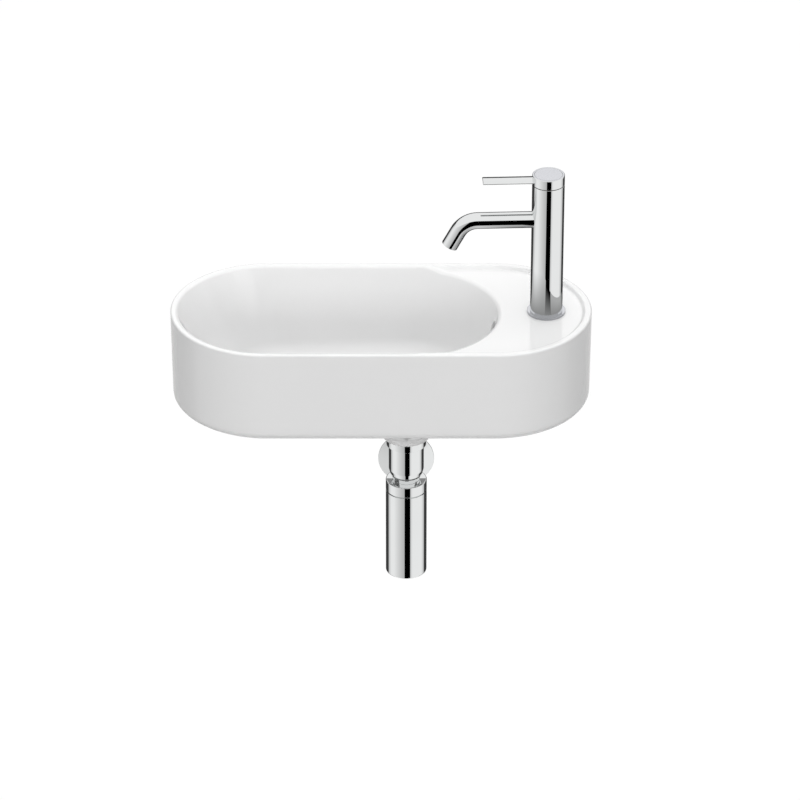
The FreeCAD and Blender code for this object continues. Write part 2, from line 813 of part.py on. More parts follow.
union_top = backnut_foot - d.union_gap
union_bend = union_top - d.union_straight
union_foot = union_bend - d.union_taper
inlet_washer_foot = -d.waste_tail_below - d.inlet_washer_thickness
collar_foot = inlet_washer_foot - d.collar_thickness
tube_hole = d.tube_radius + d.slip_fit
turned("union_nut", [
    (tube_hole, union_foot), (d.union_end_radius, union_foot), (d.union_radius, union_bend),
    (d.union_radius, union_top - d.nut_edge), (d.union_radius - d.nut_edge, union_top),
    (d.waste_tail_radius + d.slip_fit, union_top), (d.waste_tail_radius + d.slip_fit, collar_foot),
    (tube_hole, collar_foot),
])
ring("inlet_washer", d.tube_radius - d.tube_wall, d.collar_radius, inlet_washer_foot,
     d.inlet_washer_thickness)


# Bottle trap

head_top = -d.head_drop
head_foot = head_top - d.head_height
trap_shoulder = head_foot - d.trap_seam
trap_foot = trap_shoulder - d.trap_length
seal_top = head_top - d.head_plate
seal_foot = seal_top - d.head_seal_thickness
trap_floor = trap_foot + d.trap_base
trap_bore = d.trap_radius - d.trap_wall
neck_hole = d.tube_radius + d.body_gap
tube_bore = d.tube_radius - d.tube_wall

turned("inlet_tube", [
    (tube_bore, trap_floor + d.dip_clearance), (d.tube_radius, trap_floor + d.dip_clearance),
    (d.tube_radius, collar_foot), (d.collar_radius, collar_foot),
    (d.collar_radius, inlet_washer_foot), (tube_bore, inlet_washer_foot),
])
turned("trap_head_nut", [
    (d.trap_neck_radius + d.slip_fit, head_foot), (d.trap_radius, head_foot),
    (d.trap_radius, head_top - d.head_edge), (d.trap_radius - d.head_edge, head_top),
    (tube_hole, head_top), (tube_hole, seal_top), (d.trap_neck_radius + d.slip_fit, seal_top),
])
ring("trap_head_seal", tube_hole, d.trap_neck_radius, seal_foot, d.head_seal_thickness)


def trap_body():
    sink_roof = trap_foot + d.plug_sink_depth
    body = turned("trap_body", [
        (d.plug_sink_radius, trap_foot), (d.trap_radius, trap_foot), (d.trap_radius, trap_shoulder),
        (d.trap_neck_radius, trap_shoulder), (d.trap_neck_radius, seal_foot), (neck_hole, seal_foot),
        (neck_hole, trap_shoulder - d.trap_roof), (trap_bore, trap_shoulder - d.trap_roof),
        (trap_bore, trap_floor), (d.plug_hole_radius, trap_floor), (d.plug_hole_radius, sink_roof),
        (d.plug_sink_radius, sink_roof),
    ])
    boss = new_sketch(body, "YZ_Plane", (ZERO, -d.outlet_drop, ZERO))
    draw_box(boss, neck_hole, ZERO, d.boss_reach, d.boss_radius)
    revolve(body, boss, "H_Axis")
    way = new_sketch(body, "YZ_Plane", (ZERO, -d.outlet_drop, ZERO))
    tube_socket = d.tube_radius + d.slip_fit
    draw_polygon(way, [
        (ZERO, ZERO), (d.boss_reach + d.overrun, ZERO), (d.boss_reach + d.overrun, tube_socket),
        (d.boss_stop, tube_socket), (d.boss_stop, d.boss_mouth_radius), (ZERO, d.boss_mouth_radius),
    ])
    bore(body, way, "H_Axis")
    soften(body, d.trap_foot_round, lambda edge: flat_at(edge, trap_foot)
           and edge.BoundBox.XMax > d.plug_sink_radius.value + d.slip_fit.value)


trap_body()


def cleaning_plug():
    head = d.plug_sink_radius - d.body_gap
    shank = d.plug_hole_radius - d.body_gap
    head_roof = trap_foot + d.plug_head_thickness
    body = turned("cleaning_plug", [
        (ZERO, trap_foot), (head, trap_foot), (head, head_roof), (shank, head_roof),
        (shank, head_roof + d.plug_shank_reach), (ZERO, head_roof + d.plug_shank_reach),
    ])
    slot = new_sketch(body, "XY_Plane", (ZERO, ZERO, trap_foot))
    length = d.plug_slot_length / 2
    width = d.plug_slot_width / 2
    draw_box(slot, -length, -width, length, width)
    cut(body, slot, d.plug_slot_depth, reverse=True)
    ring("cleaning_plug_ring", shank, d.plug_ring_radius, head_roof, d.plug_ring_thickness)


cleaning_plug()


# Trap outlet, reaches counted from the trap's axis towards the wall

wall_reach = d.basin_depth / 2
seal_end = d.boss_reach + d.outlet_seal_thickness
nut_end = seal_end + d.outlet_nut_lip
nut_start = nut_end - d.outlet_nut_length
turned_along_y("outlet_nut", [
    (nut_start, d.boss_radius + d.slip_fit), (seal_end, d.boss_radius + d.slip_fit),
    (seal_end, tube_hole), (nut_end, tube_hole), (nut_end, d.outlet_nut_radius - d.nut_edge),
    (nut_end - d.nut_edge, d.outlet_nut_radius), (nut_start + d.nut_edge, d.outlet_nut_radius),
    (nut_start, d.outlet_nut_radius - d.nut_edge),
])
turned_along_y("outlet_seal", [
    (d.boss_reach, tube_hole), (seal_end, tube_hole), (seal_end, d.boss_radius),
    (d.boss_reach, d.boss_radius),
])
tube_end = wall_reach + d.outlet_past_wall
end_start = tube_end - d.outlet_end_length
turned_along_y("outlet_tube", [
    (d.boss_stop, tube_bore), (tube_end, tube_bore), (tube_end, d.outlet_end_radius),
    (end_start, d.outlet_end_radius), (end_start, d.tube_radius), (d.boss_stop, d.tube_radius),
])
rosette_hole = d.tube_radius + d.body_gap
turned_along_y("wall_rosette", [
    (wall_reach, rosette_hole), (wall_reach, d.rosette_radius),
    (wall_reach - d.rosette_edge, d.rosette_radius),
    (wall_reach - d.rosette_height, d.rosette_nose_radius),
    (wall_reach - d.rosette_height, rosette_hole),
])


# Tap, heights counted from the deck

tail_hole = d.tail_radius + d.slip_fit
valve_floor = d.spout_height + d.valve_seat
column_end = valve_floor + d.column_top
bush_end = valve_floor + d.bush_top
groove_foot = valve_floor + d.spindle_groove_height
spindle_end = valve_floor + d.spindle_top
socket_top = d.base_ring_height + d.tail_socket


def tap_turned(label, outline):
    return turned(label, outline, TAP_AT, d.tap_yaw_angle)


def tap_ring(label, inner, outer, foot, height):
    return ring(label, inner, outer, foot, height, TAP_AT, d.tap_yaw_angle)


tap_turned("tap_base_ring", [
    (tail_hole, d.base_gasket_thickness), (d.base_gasket_radius, d.base_gasket_thickness),
    (d.base_gasket_radius, ZERO), (d.base_ring_radius, ZERO),
    (d.base_ring_radius, d.base_ring_edge), (d.column_radius, d.base_ring_height),
    (tail_hole, d.base_ring_height),
])
tap_ring("tap_base_gasket", tail_hole, d.base_gasket_radius, ZERO, d.base_gasket_thickness)


def tap_column():
    body = tap_turned("tap_column", [
        (tail_hole, d.base_ring_height), (d.column_radius, d.base_ring_height),
        (d.column_radius, column_end), (d.chamber_radius, column_end),
        (d.chamber_radius, valve_floor), (d.waterway_radius, valve_floor),
        (d.waterway_radius, socket_top), (tail_hole, socket_top),
    ])
    socket = new_sketch(body, "YZ_Plane", (ZERO, ZERO, -d.spout_socket))
    draw_circle(socket, ZERO, d.spout_height, d.spout_radius + d.slip_fit)
    cut(body, socket, d.column_radius)
    passage = new_sketch(body, "XY_Plane", (ZERO, ZERO, valve_floor))
    draw_circle(passage, -d.passage_offset, ZERO, d.passage_radius)
    cut(body, passage, d.valve_seat)


tap_column()


def tap_spout():
    """A tube that leaves the column level, bends and ends in a short slanting tail."""
    body = new_body("tap_spout", TAP_AT, d.tap_yaw_angle)
    path = new_sketch(body, "XZ_Plane")
    turn = math.radians(d.spout_turn_angle.value)
    root = vector(-d.spout_socket, d.spout_height)
    bend = vector(-d.spout_straight, d.spout_height)
    centre = vector(-d.spout_straight, d.spout_height - d.spout_bend_radius)
    circle = Part.Circle(centre, vector(ZERO, ZERO, 1), d.spout_bend_radius.value)
    quarter = math.pi / 2
    path.addGeometry(Part.LineSegment(root, bend), False)
    path.addGeometry(Part.ArcOfCircle(circle, quarter, quarter + turn), False)
    bend_end = circle.value(quarter + turn)
    tail = FreeCAD.Vector(-math.cos(turn), -math.sin(turn), 0) * d.spout_tail.value
    path.addGeometry(Part.LineSegment(bend_end, bend_end + tail), False)
    hold(path, 0, 1, -d.spout_socket, d.spout_height)
    hold(path, 0, 2, -d.spout_straight, d.spout_height)
    path.addConstraint(Sketcher.Constraint("Tangent", 0, 2, 1, 1))
    path.addConstraint(Sketcher.Constraint("Tangent", 1, 2, 2, 1))
    bind(path, Sketcher.Constraint("Radius", 1, d.spout_bend_radius.value), d.spout_bend_radius)
    bind(path, Sketcher.Constraint("Distance", 2, d.spout_tail.value), d.spout_tail)
    bend_x = -d.spout_straight - d.spout_bend_radius * sine(d.spout_turn_angle)
    bind(path, Sketcher.Constraint("DistanceX", -1, 1, 1, 2, bend_x.value), bend_x)
    section = new_sketch(body, "YZ_Plane", (ZERO, ZERO, -d.spout_socket))
    draw_circle(section, ZERO, d.spout_height, d.spout_radius)
    draw_circle(section, ZERO, d.spout_height, d.spout_radius - d.spout_wall)
    pipe = body.newObject("PartDesign::AdditivePipe", "tap_spout_pipe")
    pipe.Profile = section
    pipe.Spine = (path, ["Edge1", "Edge2", "Edge3"])


tap_spout()


def aerator():
    """Threaded ring and grooved insert in the end of the spout."""
    turn = d.spout_turn_angle
    end_x = -d.spout_straight - d.spout_bend_radius * sine(turn) - d.spout_tail * cosine(turn)
    drop = d.spout_bend_radius - d.spout_bend_radius * cosine(turn) + d.spout_tail * sine(turn)
    shift = (end_x, d.spout_height - drop, ZERO)
    lean = turn - Size(FULL_TURN / 4, repr(FULL_TURN / 4))
    outer = d.spout_radius - d.spout_wall - d.slip_fit
    inner = outer - d.aerator_wall
    foot = d.aerator_recess
    top = foot + d.aerator_length
    turned("aerator_ring", [(inner, foot), (outer, foot), (outer, top), (inner, top)],
           TAP_AT, d.tap_yaw_angle, shift, lean)
    insert = inner - d.slip_fit
    face = foot + d.aerator_recess
    groove = face + d.aerator_groove_depth
    turned("aerator_insert", [
        (ZERO, face), (d.aerator_core_radius, face), (d.aerator_core_radius, groove),
        (insert - d.aerator_lip, groove), (insert - d.aerator_lip, face), (insert, face),
        (insert, top), (ZERO, top),
    ], TAP_AT, d.tap_yaw_angle, shift, lean)


aerator()

inlet_top = d.inlet_length - d.tail_below
tap_turned("tap_tail", [
    (d.waterway_radius, -d.tail_below), (d.inlet_radius, -d.tail_below), (d.inlet_radius, inlet_top),
    (d.tail_radius, inlet_top), (d.tail_radius, socket_top), (d.waterway_radius, socket_top),
])
washer_foot = -d.deck_thickness - d.tap_washer_thickness
plate_foot = washer_foot - d.tap_plate_thickness
nut_foot = plate_foot - d.tap_nut_height
tap_ring("tap_deck_washer", tail_hole, d.tap_washer_radius, washer_foot, d.tap_washer_thickness)
tap_ring("tap_deck_plate", tail_hole, d.tap_plate_radius, plate_foot, d.tap_plate_thickness)


def tap_backnut():
    """Six-sided nut under the deck."""
    body = new_body("tap_backnut", TAP_AT, d.tap_yaw_angle)
    sketch = new_sketch(body, "XY_Plane", (ZERO, ZERO, nut_foot))
    corner = d.tap_nut_across / 3 ** 0.5
    half = d.tap_nut_across / 2
    draw_polygon(sketch, [
        (corner, ZERO), (corner / 2, half), (-corner / 2, half),
        (-corner, ZERO), (-corner / 2, -half), (corner / 2, -half),
    ])
    draw_circle(sketch, ZERO, ZERO, tail_hole)
    extrude(body, sketch, d.tap_nut_height)


tap_backnut()


# Quarter-turn headwork inside the column

seal_up = valve_floor + d.seal_thickness
fixed_up = seal_up + d.disc_thickness
moving_foot = fixed_up + d.slip_fit
moving_up = moving_foot + d.disc_thickness
flange_up = moving_up + d.spindle_flange
tap_ring("headwork_seal", d.waterway_radius, d.seal_radius, valve_floor, d.seal_thickness)


def headwork_fixed_disc():
    body = tap_turned("headwork_fixed_disc", [
        (ZERO, seal_up), (d.disc_radius, seal_up), (d.disc_radius, fixed_up), (ZERO, fixed_up),
    ])
    ports = new_sketch(body, "XY_Plane", (ZERO, ZERO, seal_up - d.overrun))
    for side in (-1, 1):
        draw_circle(ports, ZERO, d.disc_port_offset * side, d.disc_port_radius)
    cut(body, ports, d.disc_thickness + d.overrun * 2, reverse=True)


def headwork_moving_disc():
    body = tap_turned("headwork_moving_disc", [
        (ZERO, moving_foot), (d.disc_radius, moving_foot), (d.disc_radius, moving_up), (ZERO, moving_up),
    ])
    slot = new_sketch(body, "XY_Plane", (ZERO, ZERO, moving_foot))
    half = d.disc_slot_width / 2
    reach = d.disc_radius + d.overrun
    draw_box(slot, -reach, -half, reach, half)
    cut(body, slot, d.disc_slot_depth, reverse=True)


def headwork_spindle():
    groove_top = groove_foot + d.spindle_ring_thickness + d.slip_fit
    body = tap_turned("headwork_spindle", [
        (ZERO, moving_up), (d.disc_radius, moving_up), (d.disc_radius, flange_up),
        (d.spindle_radius, flange_up), (d.spindle_radius, groove_foot),
        (d.spindle_groove_radius, groove_foot), (d.spindle_groove_radius, groove_top),
        (d.spindle_radius, groove_top), (d.spindle_radius, bush_end),
        (d.spindle_spline_radius, bush_end), (d.spindle_spline_radius, spindle_end),
        (ZERO, spindle_end),
    ])
    thread = new_sketch(body, "XY_Plane", (ZERO, ZERO, spindle_end))
    draw_circle(thread, ZERO, ZERO, d.screw_radius + d.slip_fit)
    cut(body, thread, d.screw_reach)


def headwork_bush():
    disc_bore = d.disc_radius + d.body_gap
    shaft_bore = d.spindle_radius + d.body_gap
    outer = d.chamber_radius - d.slip_fit
    foot = valve_floor + d.slip_fit
    roof = flange_up + d.body_gap
    body = tap_turned("headwork_bush", [
        (disc_bore, foot), (outer, foot), (outer, bush_end), (shaft_bore, bush_end),
        (shaft_bore, roof), (disc_bore, roof),
    ])
    notch = new_sketch(body, "YZ_Plane")
    half = d.bush_notch_width / 2
    draw_box(notch, -half, foot - d.overrun, half, foot + d.bush_notch_height)
    cut(body, notch, d.chamber_radius * 2, both_ways=True)


headwork_fixed_disc()
headwork_moving_disc()
headwork_spindle()
headwork_bush()
tap_ring("headwork_spindle_ring", d.spindle_groove_radius, d.spindle_radius,
         groove_foot, d.spindle_ring_thickness)


# Handle

cap_foot = column_end + d.handle_seam
cap_top = cap_foot + d.handle_height
disc_seat = cap_top - d.top_disc_thickness
web_foot = disc_seat - d.handle_web
lever_foot = cap_foot + d.lever_lift
lever_top = lever_foot + d.lever_thickness


def handle_cap():
    hub_bore = d.spindle_spline_radius + d.slip_fit
    screw_seat = disc_seat - d.screw_sink
    body = tap_turned("handle_cap", [
        (d.column_radius - d.handle_wall, cap_foot), (d.column_radius, cap_foot),
        (d.column_radius, cap_top - d.handle_edge), (d.column_radius - d.handle_edge, cap_top),
        (d.top_disc_radius + d.slip_fit, cap_top), (d.top_disc_radius + d.slip_fit, disc_seat),
        (d.screw_head_radius + d.slip_fit, disc_seat), (d.screw_head_radius + d.slip_fit, screw_seat),
        (d.screw_radius + d.slip_fit, screw_seat), (d.screw_radius + d.slip_fit, web_foot),
        (hub_bore, web_foot), (hub_bore, cap_foot + d.handle_hub_lift),
        (d.handle_hub_radius, cap_foot + d.handle_hub_lift), (d.handle_hub_radius, web_foot),
        (d.column_radius - d.handle_wall, web_foot),
    ])
    slot = new_sketch(body, "YZ_Plane", (ZERO, ZERO, -d.lever_root + d.slip_fit))
    half = d.lever_root_width / 2 + d.slip_fit
    draw_box(slot, -half, lever_foot - d.slip_fit, half, lever_top + d.slip_fit)
    cut(body, slot, d.column_radius)


def handle_lever():
    """A flat bar lying level, a little wider at its free end."""
    body = new_body("handle_lever", TAP_AT, d.tap_yaw_angle)
    plan = new_sketch(body, "XY_Plane", (ZERO, ZERO, lever_foot))
    edge = d.column_radius + d.handle_edge
    root = d.lever_root_width / 2
    tip = d.lever_tip_width / 2
    draw_polygon(plan, [
        (-d.lever_root, -root), (-d.lever_root, root), (-edge, root),
        (-d.lever_reach, tip), (-d.lever_reach, -tip), (-edge, -root),
    ])
    extrude(body, plan, d.lever_thickness)
    soften(body, d.lever_round, lambda edge: flat_at(edge, lever_foot) or flat_at(edge, lever_top))


handle_cap()
handle_lever()
tap_turned("handle_top_disc", [
    (ZERO, disc_seat), (d.top_disc_radius, disc_seat), (d.top_disc_radius, cap_top), (ZERO, cap_top),
])


def handle_screw():
    head_foot_up = disc_seat - d.screw_sink
    head_up = head_foot_up + d.screw_head_height
    screw_end = spindle_end - d.screw_reach + d.slip_fit
    body = tap_turned("handle_screw", [
        (ZERO, screw_end), (d.screw_radius, screw_end), (d.screw_radius, head_foot_up),
        (d.screw_head_radius, head_foot_up), (d.screw_head_radius, head_up), (ZERO, head_up),
    ])
    key = new_sketch(body, "XY_Plane", (ZERO, ZERO, head_up))
    corner = d.screw_hex_radius
    half = corner * 3 ** 0.5 / 2
    draw_polygon(key, [
        (corner, ZERO), (corner / 2, half), (-corner / 2, half),
        (-corner, ZERO), (-corner / 2, -half), (corner / 2, -half),
    ])
    cut(body, key, d.screw_hex_depth)


handle_screw()


# Checks, then one file for each piece

doc.recompute()
for item in doc.Objects:
    if "Invalid" in item.State or "Error" in item.State:
        raise RuntimeError(f"{item.Label} failed: {item.State}")
for item in parts:
    solids = len(item.Shape.Solids)
    if item.Shape.isNull() or not item.Shape.isValid() or solids != 1:
        raise RuntimeError(f"{item.Label} is not one valid solid: {solids} found")
os.makedirs("parts", exist_ok=True)
for item in parts:
    item.Shape.exportStep(f"parts/{item.Label}.step")
print(len(parts), "pieces written")
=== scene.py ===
import json
import math

import bmesh
import bpy
from mathutils import Matrix, Vector


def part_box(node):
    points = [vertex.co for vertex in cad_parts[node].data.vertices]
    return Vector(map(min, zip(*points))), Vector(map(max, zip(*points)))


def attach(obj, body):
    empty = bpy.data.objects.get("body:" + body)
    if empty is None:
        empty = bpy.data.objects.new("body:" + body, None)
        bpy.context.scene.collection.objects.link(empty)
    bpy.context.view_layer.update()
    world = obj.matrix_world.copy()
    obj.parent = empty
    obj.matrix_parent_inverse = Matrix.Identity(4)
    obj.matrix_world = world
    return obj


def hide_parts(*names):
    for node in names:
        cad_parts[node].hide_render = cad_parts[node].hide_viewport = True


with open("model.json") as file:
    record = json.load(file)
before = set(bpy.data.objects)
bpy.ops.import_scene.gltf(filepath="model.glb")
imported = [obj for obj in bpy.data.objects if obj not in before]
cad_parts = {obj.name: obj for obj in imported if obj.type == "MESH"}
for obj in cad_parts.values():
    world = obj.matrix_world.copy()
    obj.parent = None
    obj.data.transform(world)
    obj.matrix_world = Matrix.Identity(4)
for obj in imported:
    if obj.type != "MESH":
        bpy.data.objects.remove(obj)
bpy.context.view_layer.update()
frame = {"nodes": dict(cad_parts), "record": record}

# A wall-hung hand basin with a cold tap, a push-plug waste and a bottle trap.
# Lengths are written in millimetres; MM turns them into the frame's metres.
MM = 0.001
FULL_TURN = 2 * math.pi
ROUND_SIDES = 128
ARC_STEPS = 6
ARC_FIT = 0.98
SHARP_ANGLE = math.radians(38)
MERGE_DISTANCE = 1e-5


# Places taken from the frame

def node_box(node):
    """Lowest and highest corner of a CAD node, in millimetres."""
    low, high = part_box(node)
    return Vector(low) / MM, Vector(high) / MM


def node_centre(node):
    low, high = node_box(node)
    return (low + high) / 2


def node_radius(node):
    """Largest radius of a round piece whose axis lies across x."""
    low, high = node_box(node)
    return (high.x - low.x) / 2


def axis_through(node):
    """Frame of an upright axis through the middle of a node, with heights as in the part."""
    centre = node_centre(node)
    return Matrix.Translation((centre.x, centre.y, 0))


TAP_YAW = math.radians(2.5)
DRAIN = axis_through("trap_head_nut")
TAP = axis_through("tap_base_ring") @ Matrix.Rotation(TAP_YAW, 4, "Z")
OUTLET = Matrix.Translation(node_centre("outlet_nut") * Vector((1, 0, 1)))
OUTLET @= Matrix.Rotation(-math.pi / 2, 4, "X")


# Materials

UNSTRETCHED = (1, 1, 1)
NOISE_LOW = 0.3
NOISE_HIGH = 0.7
TINT_DETAIL = 3
ROUGH_DETAIL = 4
BUMP_DETAIL = 2


def node_tree(name):
    material = bpy.data.materials.new(name)
    material.use_nodes = True
    return material, material.node_tree.nodes, material.node_tree.links


def noise(nodes, links, scale, detail, stretch):
    """Noise in the piece's own space; scale counts features along a metre."""
    place = nodes.new("ShaderNodeTexCoord")
    mapping = nodes.new("ShaderNodeMapping")
    mapping.inputs["Scale"].default_value = stretch
    texture = nodes.new("ShaderNodeTexNoise")
    texture.inputs["Scale"].default_value = scale
    texture.inputs["Detail"].default_value = detail
    links.new(place.outputs["Object"], mapping.inputs["Vector"])
    links.new(mapping.outputs["Vector"], texture.inputs["Vector"])
    return texture.outputs["Fac"]


def spread(nodes, links, factor, low, high):
    """Maps noise to a range of numbers."""
    span = nodes.new("ShaderNodeMapRange")
    span.inputs["From Min"].default_value = NOISE_LOW
    span.inputs["From Max"].default_value = NOISE_HIGH
    span.inputs["To Min"].default_value = low
    span.inputs["To Max"].default_value = high
    links.new(factor, span.inputs["Value"])
    return span.outputs["Result"]


def finish(name, light, dark, tint_scale, roughness, rough_scale, metallic=0.0,
           bump_scale=None, bump_height=0.0, stretch=UNSTRETCHED, coat=0.0):
    """A surface whose colour and roughness drift a little, with a fine relief where it has one."""
    material, nodes, links = node_tree(name)
    shader = nodes["Principled BSDF"]
    shader.inputs["Metallic"].default_value = metallic
    shader.inputs["Coat Weight"].default_value = coat
    tint = nodes.new("ShaderNodeMix")
    tint.data_type = "RGBA"
    tint.inputs["A"].default_value = (*dark, 1)
    tint.inputs["B"].default_value = (*light, 1)
    links.new(noise(nodes, links, tint_scale, TINT_DETAIL, stretch), tint.inputs["Factor"])
    links.new(tint.outputs["Result"], shader.inputs["Base Color"])
    shade = noise(nodes, links, rough_scale, ROUGH_DETAIL, stretch)
    links.new(spread(nodes, links, shade, *roughness), shader.inputs["Roughness"])
    if bump_scale is not None:
        relief = nodes.new("ShaderNodeBump")
        relief.inputs["Strength"].default_value = 1.0
        relief.inputs["Distance"].default_value = bump_height
        links.new(noise(nodes, links, bump_scale, BUMP_DETAIL, stretch), relief.inputs["Height"])
        links.new(relief.outputs["Normal"], shader.inputs["Normal"])
    return material


LOOKS = {
    "glazed_white": finish(
        "glaze", light=(0.82, 0.82, 0.82), dark=(0.81, 0.81, 0.81), tint_scale=9,
        roughness=(0.05, 0.08), rough_scale=14, bump_scale=55, bump_height=0.00001, coat=0.35),
    "chrome": finish(
        "chrome_plate", light=(0.79, 0.80, 0.80), dark=(0.76, 0.77, 0.77), tint_scale=20,
        roughness=(0.001, 0.003), rough_scale=45, metallic=1.0),
    "raw_brass": finish(
        "turned_brass", light=(0.62, 0.46, 0.20), dark=(0.52, 0.37, 0.15), tint_scale=60,
        roughness=(0.22, 0.38), rough_scale=240, metallic=1.0,
        bump_scale=900, bump_height=0.00002, stretch=(1, 1, 8)),
    "bright_steel": finish(
        "brushed_steel", light=(0.62, 0.62, 0.63), dark=(0.54, 0.54, 0.56), tint_scale=80,
        roughness=(0.24, 0.36), rough_scale=300, metallic=1.0,
        bump_scale=1200, bump_height=0.00001, stretch=(1, 1, 10)),
    "black_rubber": finish(
        "black_rubber", light=(0.035, 0.035, 0.036), dark=(0.022, 0.022, 0.023), tint_scale=90,
        roughness=(0.55, 0.72), rough_scale=200, bump_scale=1500, bump_height=0.00003),
    "white_plastic": finish(
        "white_plastic", light=(0.80, 0.80, 0.78), dark=(0.76, 0.76, 0.74), tint_scale=50,
        roughness=(0.32, 0.42), rough_scale=260, bump_scale=1800, bump_height=0.00001),
    "disc_ceramic": finish(
        "valve_ceramic", light=(0.80, 0.79, 0.75), dark=(0.75, 0.74, 0.71), tint_scale=120,
        roughness=(0.30, 0.40), rough_scale=300, bump_scale=2000, bump_height=0.000005),
}
DISC_CHROME = finish(
    "disc_chrome", light=(0.42, 0.425, 0.445), dark=(0.39, 0.395, 0.415), tint_scale=60,
    roughness=(0.10, 0.16), rough_scale=300, metallic=1.0)


# Mesh helpers

def turn_at(corners, index, closed):
    """How far an outline turns at a corner."""
    count = len(corners)
    if not closed and index in (0, count - 1):
        return 0.0
    here = Vector(corners[index][:2])
    before = here - Vector(corners[index - 1][:2])
    after = Vector(corners[(index + 1) % count][:2]) - here
    if min(before.length, after.length) < MERGE_DISTANCE:
        return 0.0
    return before.angle(after)


def rounded(corners, closed=True):
    """Outline whose corners (across, up, radius) become arcs; a fourth number divides the run after one."""
    count = len(corners)
    spots = [Vector(corner[:2]) for corner in corners]
    turns = [turn_at(corners, index, closed) for index in range(count)]
    reaches = [corner[2] * math.tan(turn / 2) for corner, turn in zip(corners, turns)]
    fits = []
    for index in range(count):
        after = (index + 1) % count
        needed = reaches[index] + reaches[after]
        room = (spots[after] - spots[index]).length
        fits.append(min(1.0, ARC_FIT * room / needed) if needed else 1.0)
    arcs = []
    for index, corner in enumerate(corners):
        here = spots[index]
        reach = reaches[index] * min(fits[index - 1], fits[index])
        if not corner[2]:
            arcs.append([here])
        elif reach < MERGE_DISTANCE:
            arcs.append([here] * (ARC_STEPS + 1))
        else:
            back = (spots[index - 1] - here).normalized()
            ahead = (spots[(index + 1) % count] - here).normalized()
            centre = here + (back + ahead).normalized() * (reach / math.sin(turns[index] / 2))
            arm = here + back * reach - centre
            other = here + ahead * reach - centre
            sweep = math.atan2(arm.x * other.y - arm.y * other.x, arm.dot(other))
            arcs.append([centre + Matrix.Rotation(sweep * step / ARC_STEPS, 2) @ arm
                         for step in range(ARC_STEPS + 1)])
    points = []
    for index, corner in enumerate(corners):
        points.extend(arcs[index])
        divisions = corner[3] if len(corner) > 3 else 1
        for step in range(1, divisions):
            points.append(arcs[index][-1].lerp(arcs[(index + 1) % count][0], step / divisions))
    return points


def join(bm, rings):
    """Faces between each ring of vertices and the next."""
    for ring, following in zip(rings, rings[1:]):
        for index in range(len(ring)):
            after = (index + 1) % len(ring)
            bm.faces.new([ring[index], ring[after], following[after], following[index]])


def spin(bm, outline, frame_at, sides=ROUND_SIDES):
    """Turns an outline of (radius, height) about an axis that may bend: frame_at(height) places it."""
    rings = []
    for side in range(sides):
        angle = FULL_TURN * side / sides
        across = Vector((math.cos(angle), math.sin(angle), 0))
        rings.append([bm.verts.new(frame_at(up) @ (across * radius)) for radius, up in outline])
    join(bm, rings + rings[:1])


def straight(place):
    """Axis of a turned piece."""
    return lambda up: place @ Matrix.Translation((0, 0, up))


def loft(bm, rings):
    """Joined rings with a flat cap on each end."""
    join(bm, rings)
    bm.faces.new(rings[0])
    bm.faces.new(rings[-1])


def smooth(item):
    """Smooth shading that breaks at sharp edges and keeps flat faces flat."""
    item.data.shade_smooth()
    item.data.set_sharp_from_angle(angle=SHARP_ANGLE)
    weights = item.modifiers.new("weighted_normals", "WEIGHTED_NORMAL")
    weights.keep_sharp = True


def solid(name, bm):
    """A closed mesh object, turned into metres."""
    bmesh.ops.remove_doubles(bm, verts=bm.verts, dist=MERGE_DISTANCE)
    bmesh.ops.recalc_face_normals(bm, faces=bm.faces)
    mesh = bpy.data.meshes.new(name)
    bm.to_mesh(mesh)
    bm.free()
    mesh.transform(Matrix.Scale(MM, 4))
    item = bpy.data.objects.new(name, mesh)
    bpy.context.scene.collection.objects.link(item)
    return item


def piece(name, bm, body, nodes, slot, look=None):
    """A finished mesh that rides on a body and stands for CAD nodes."""
    item = solid(name, bm)
    item.data.materials.append(look or LOOKS[slot])
    smooth(item)
    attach(item, body)
    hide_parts(*nodes)
    return item


def turned(node, corners, place, body="basin_set", slot="chrome", look=None):
    """A lathe-turned piece for a node, from an outline of (radius, height, corner radius)."""
    bm = bmesh.new()
    spin(bm, rounded(corners), straight(place))
    return piece(f"{node}_turned", bm, body, [node], slot, look)


# Basin, in a frame at the middle of its rim

BASIN_LOW, BASIN_HIGH = node_box("basin")
DRAIN_X = DRAIN.translation.x

# Outline of the rim, and the skirt under it
RIM_RADIUS = 115.0
END_CENTRE = 135.0
BASIN_AT = Vector((0, -RIM_RADIUS, BASIN_HIGH.z))
RIM_WIDTH = 7.5
RIM_ROUND = 2.6
RIM_SPLIT = 2.8
SKIRT_HIGH = 5.0
SKIRT_LOW = 102.0
SKIRT_DEPTH = 117.0
SKIRT_INSET = 1.2
SKIRT_WALL = 9.0
HOLLOW_INSET = 3.6
FOOT_ROUND = 12.0
FOOT_EDGE = 0.8

# Deck, and the lip between it and the bowl
DECK_DROP = BASIN_HIGH.z - node_box("tap_base_gasket")[0].z
DECK_RIM_WIDTH = 8.0
DECK_STEP_SLOPE = 0.7
DECK_STEP_ROUND = 3.0
DECK_UNDERSIDE = 17.5
DECK_FADE = 8.0
LIP_ROUND = 6.0
LIP_REACH = 4.4

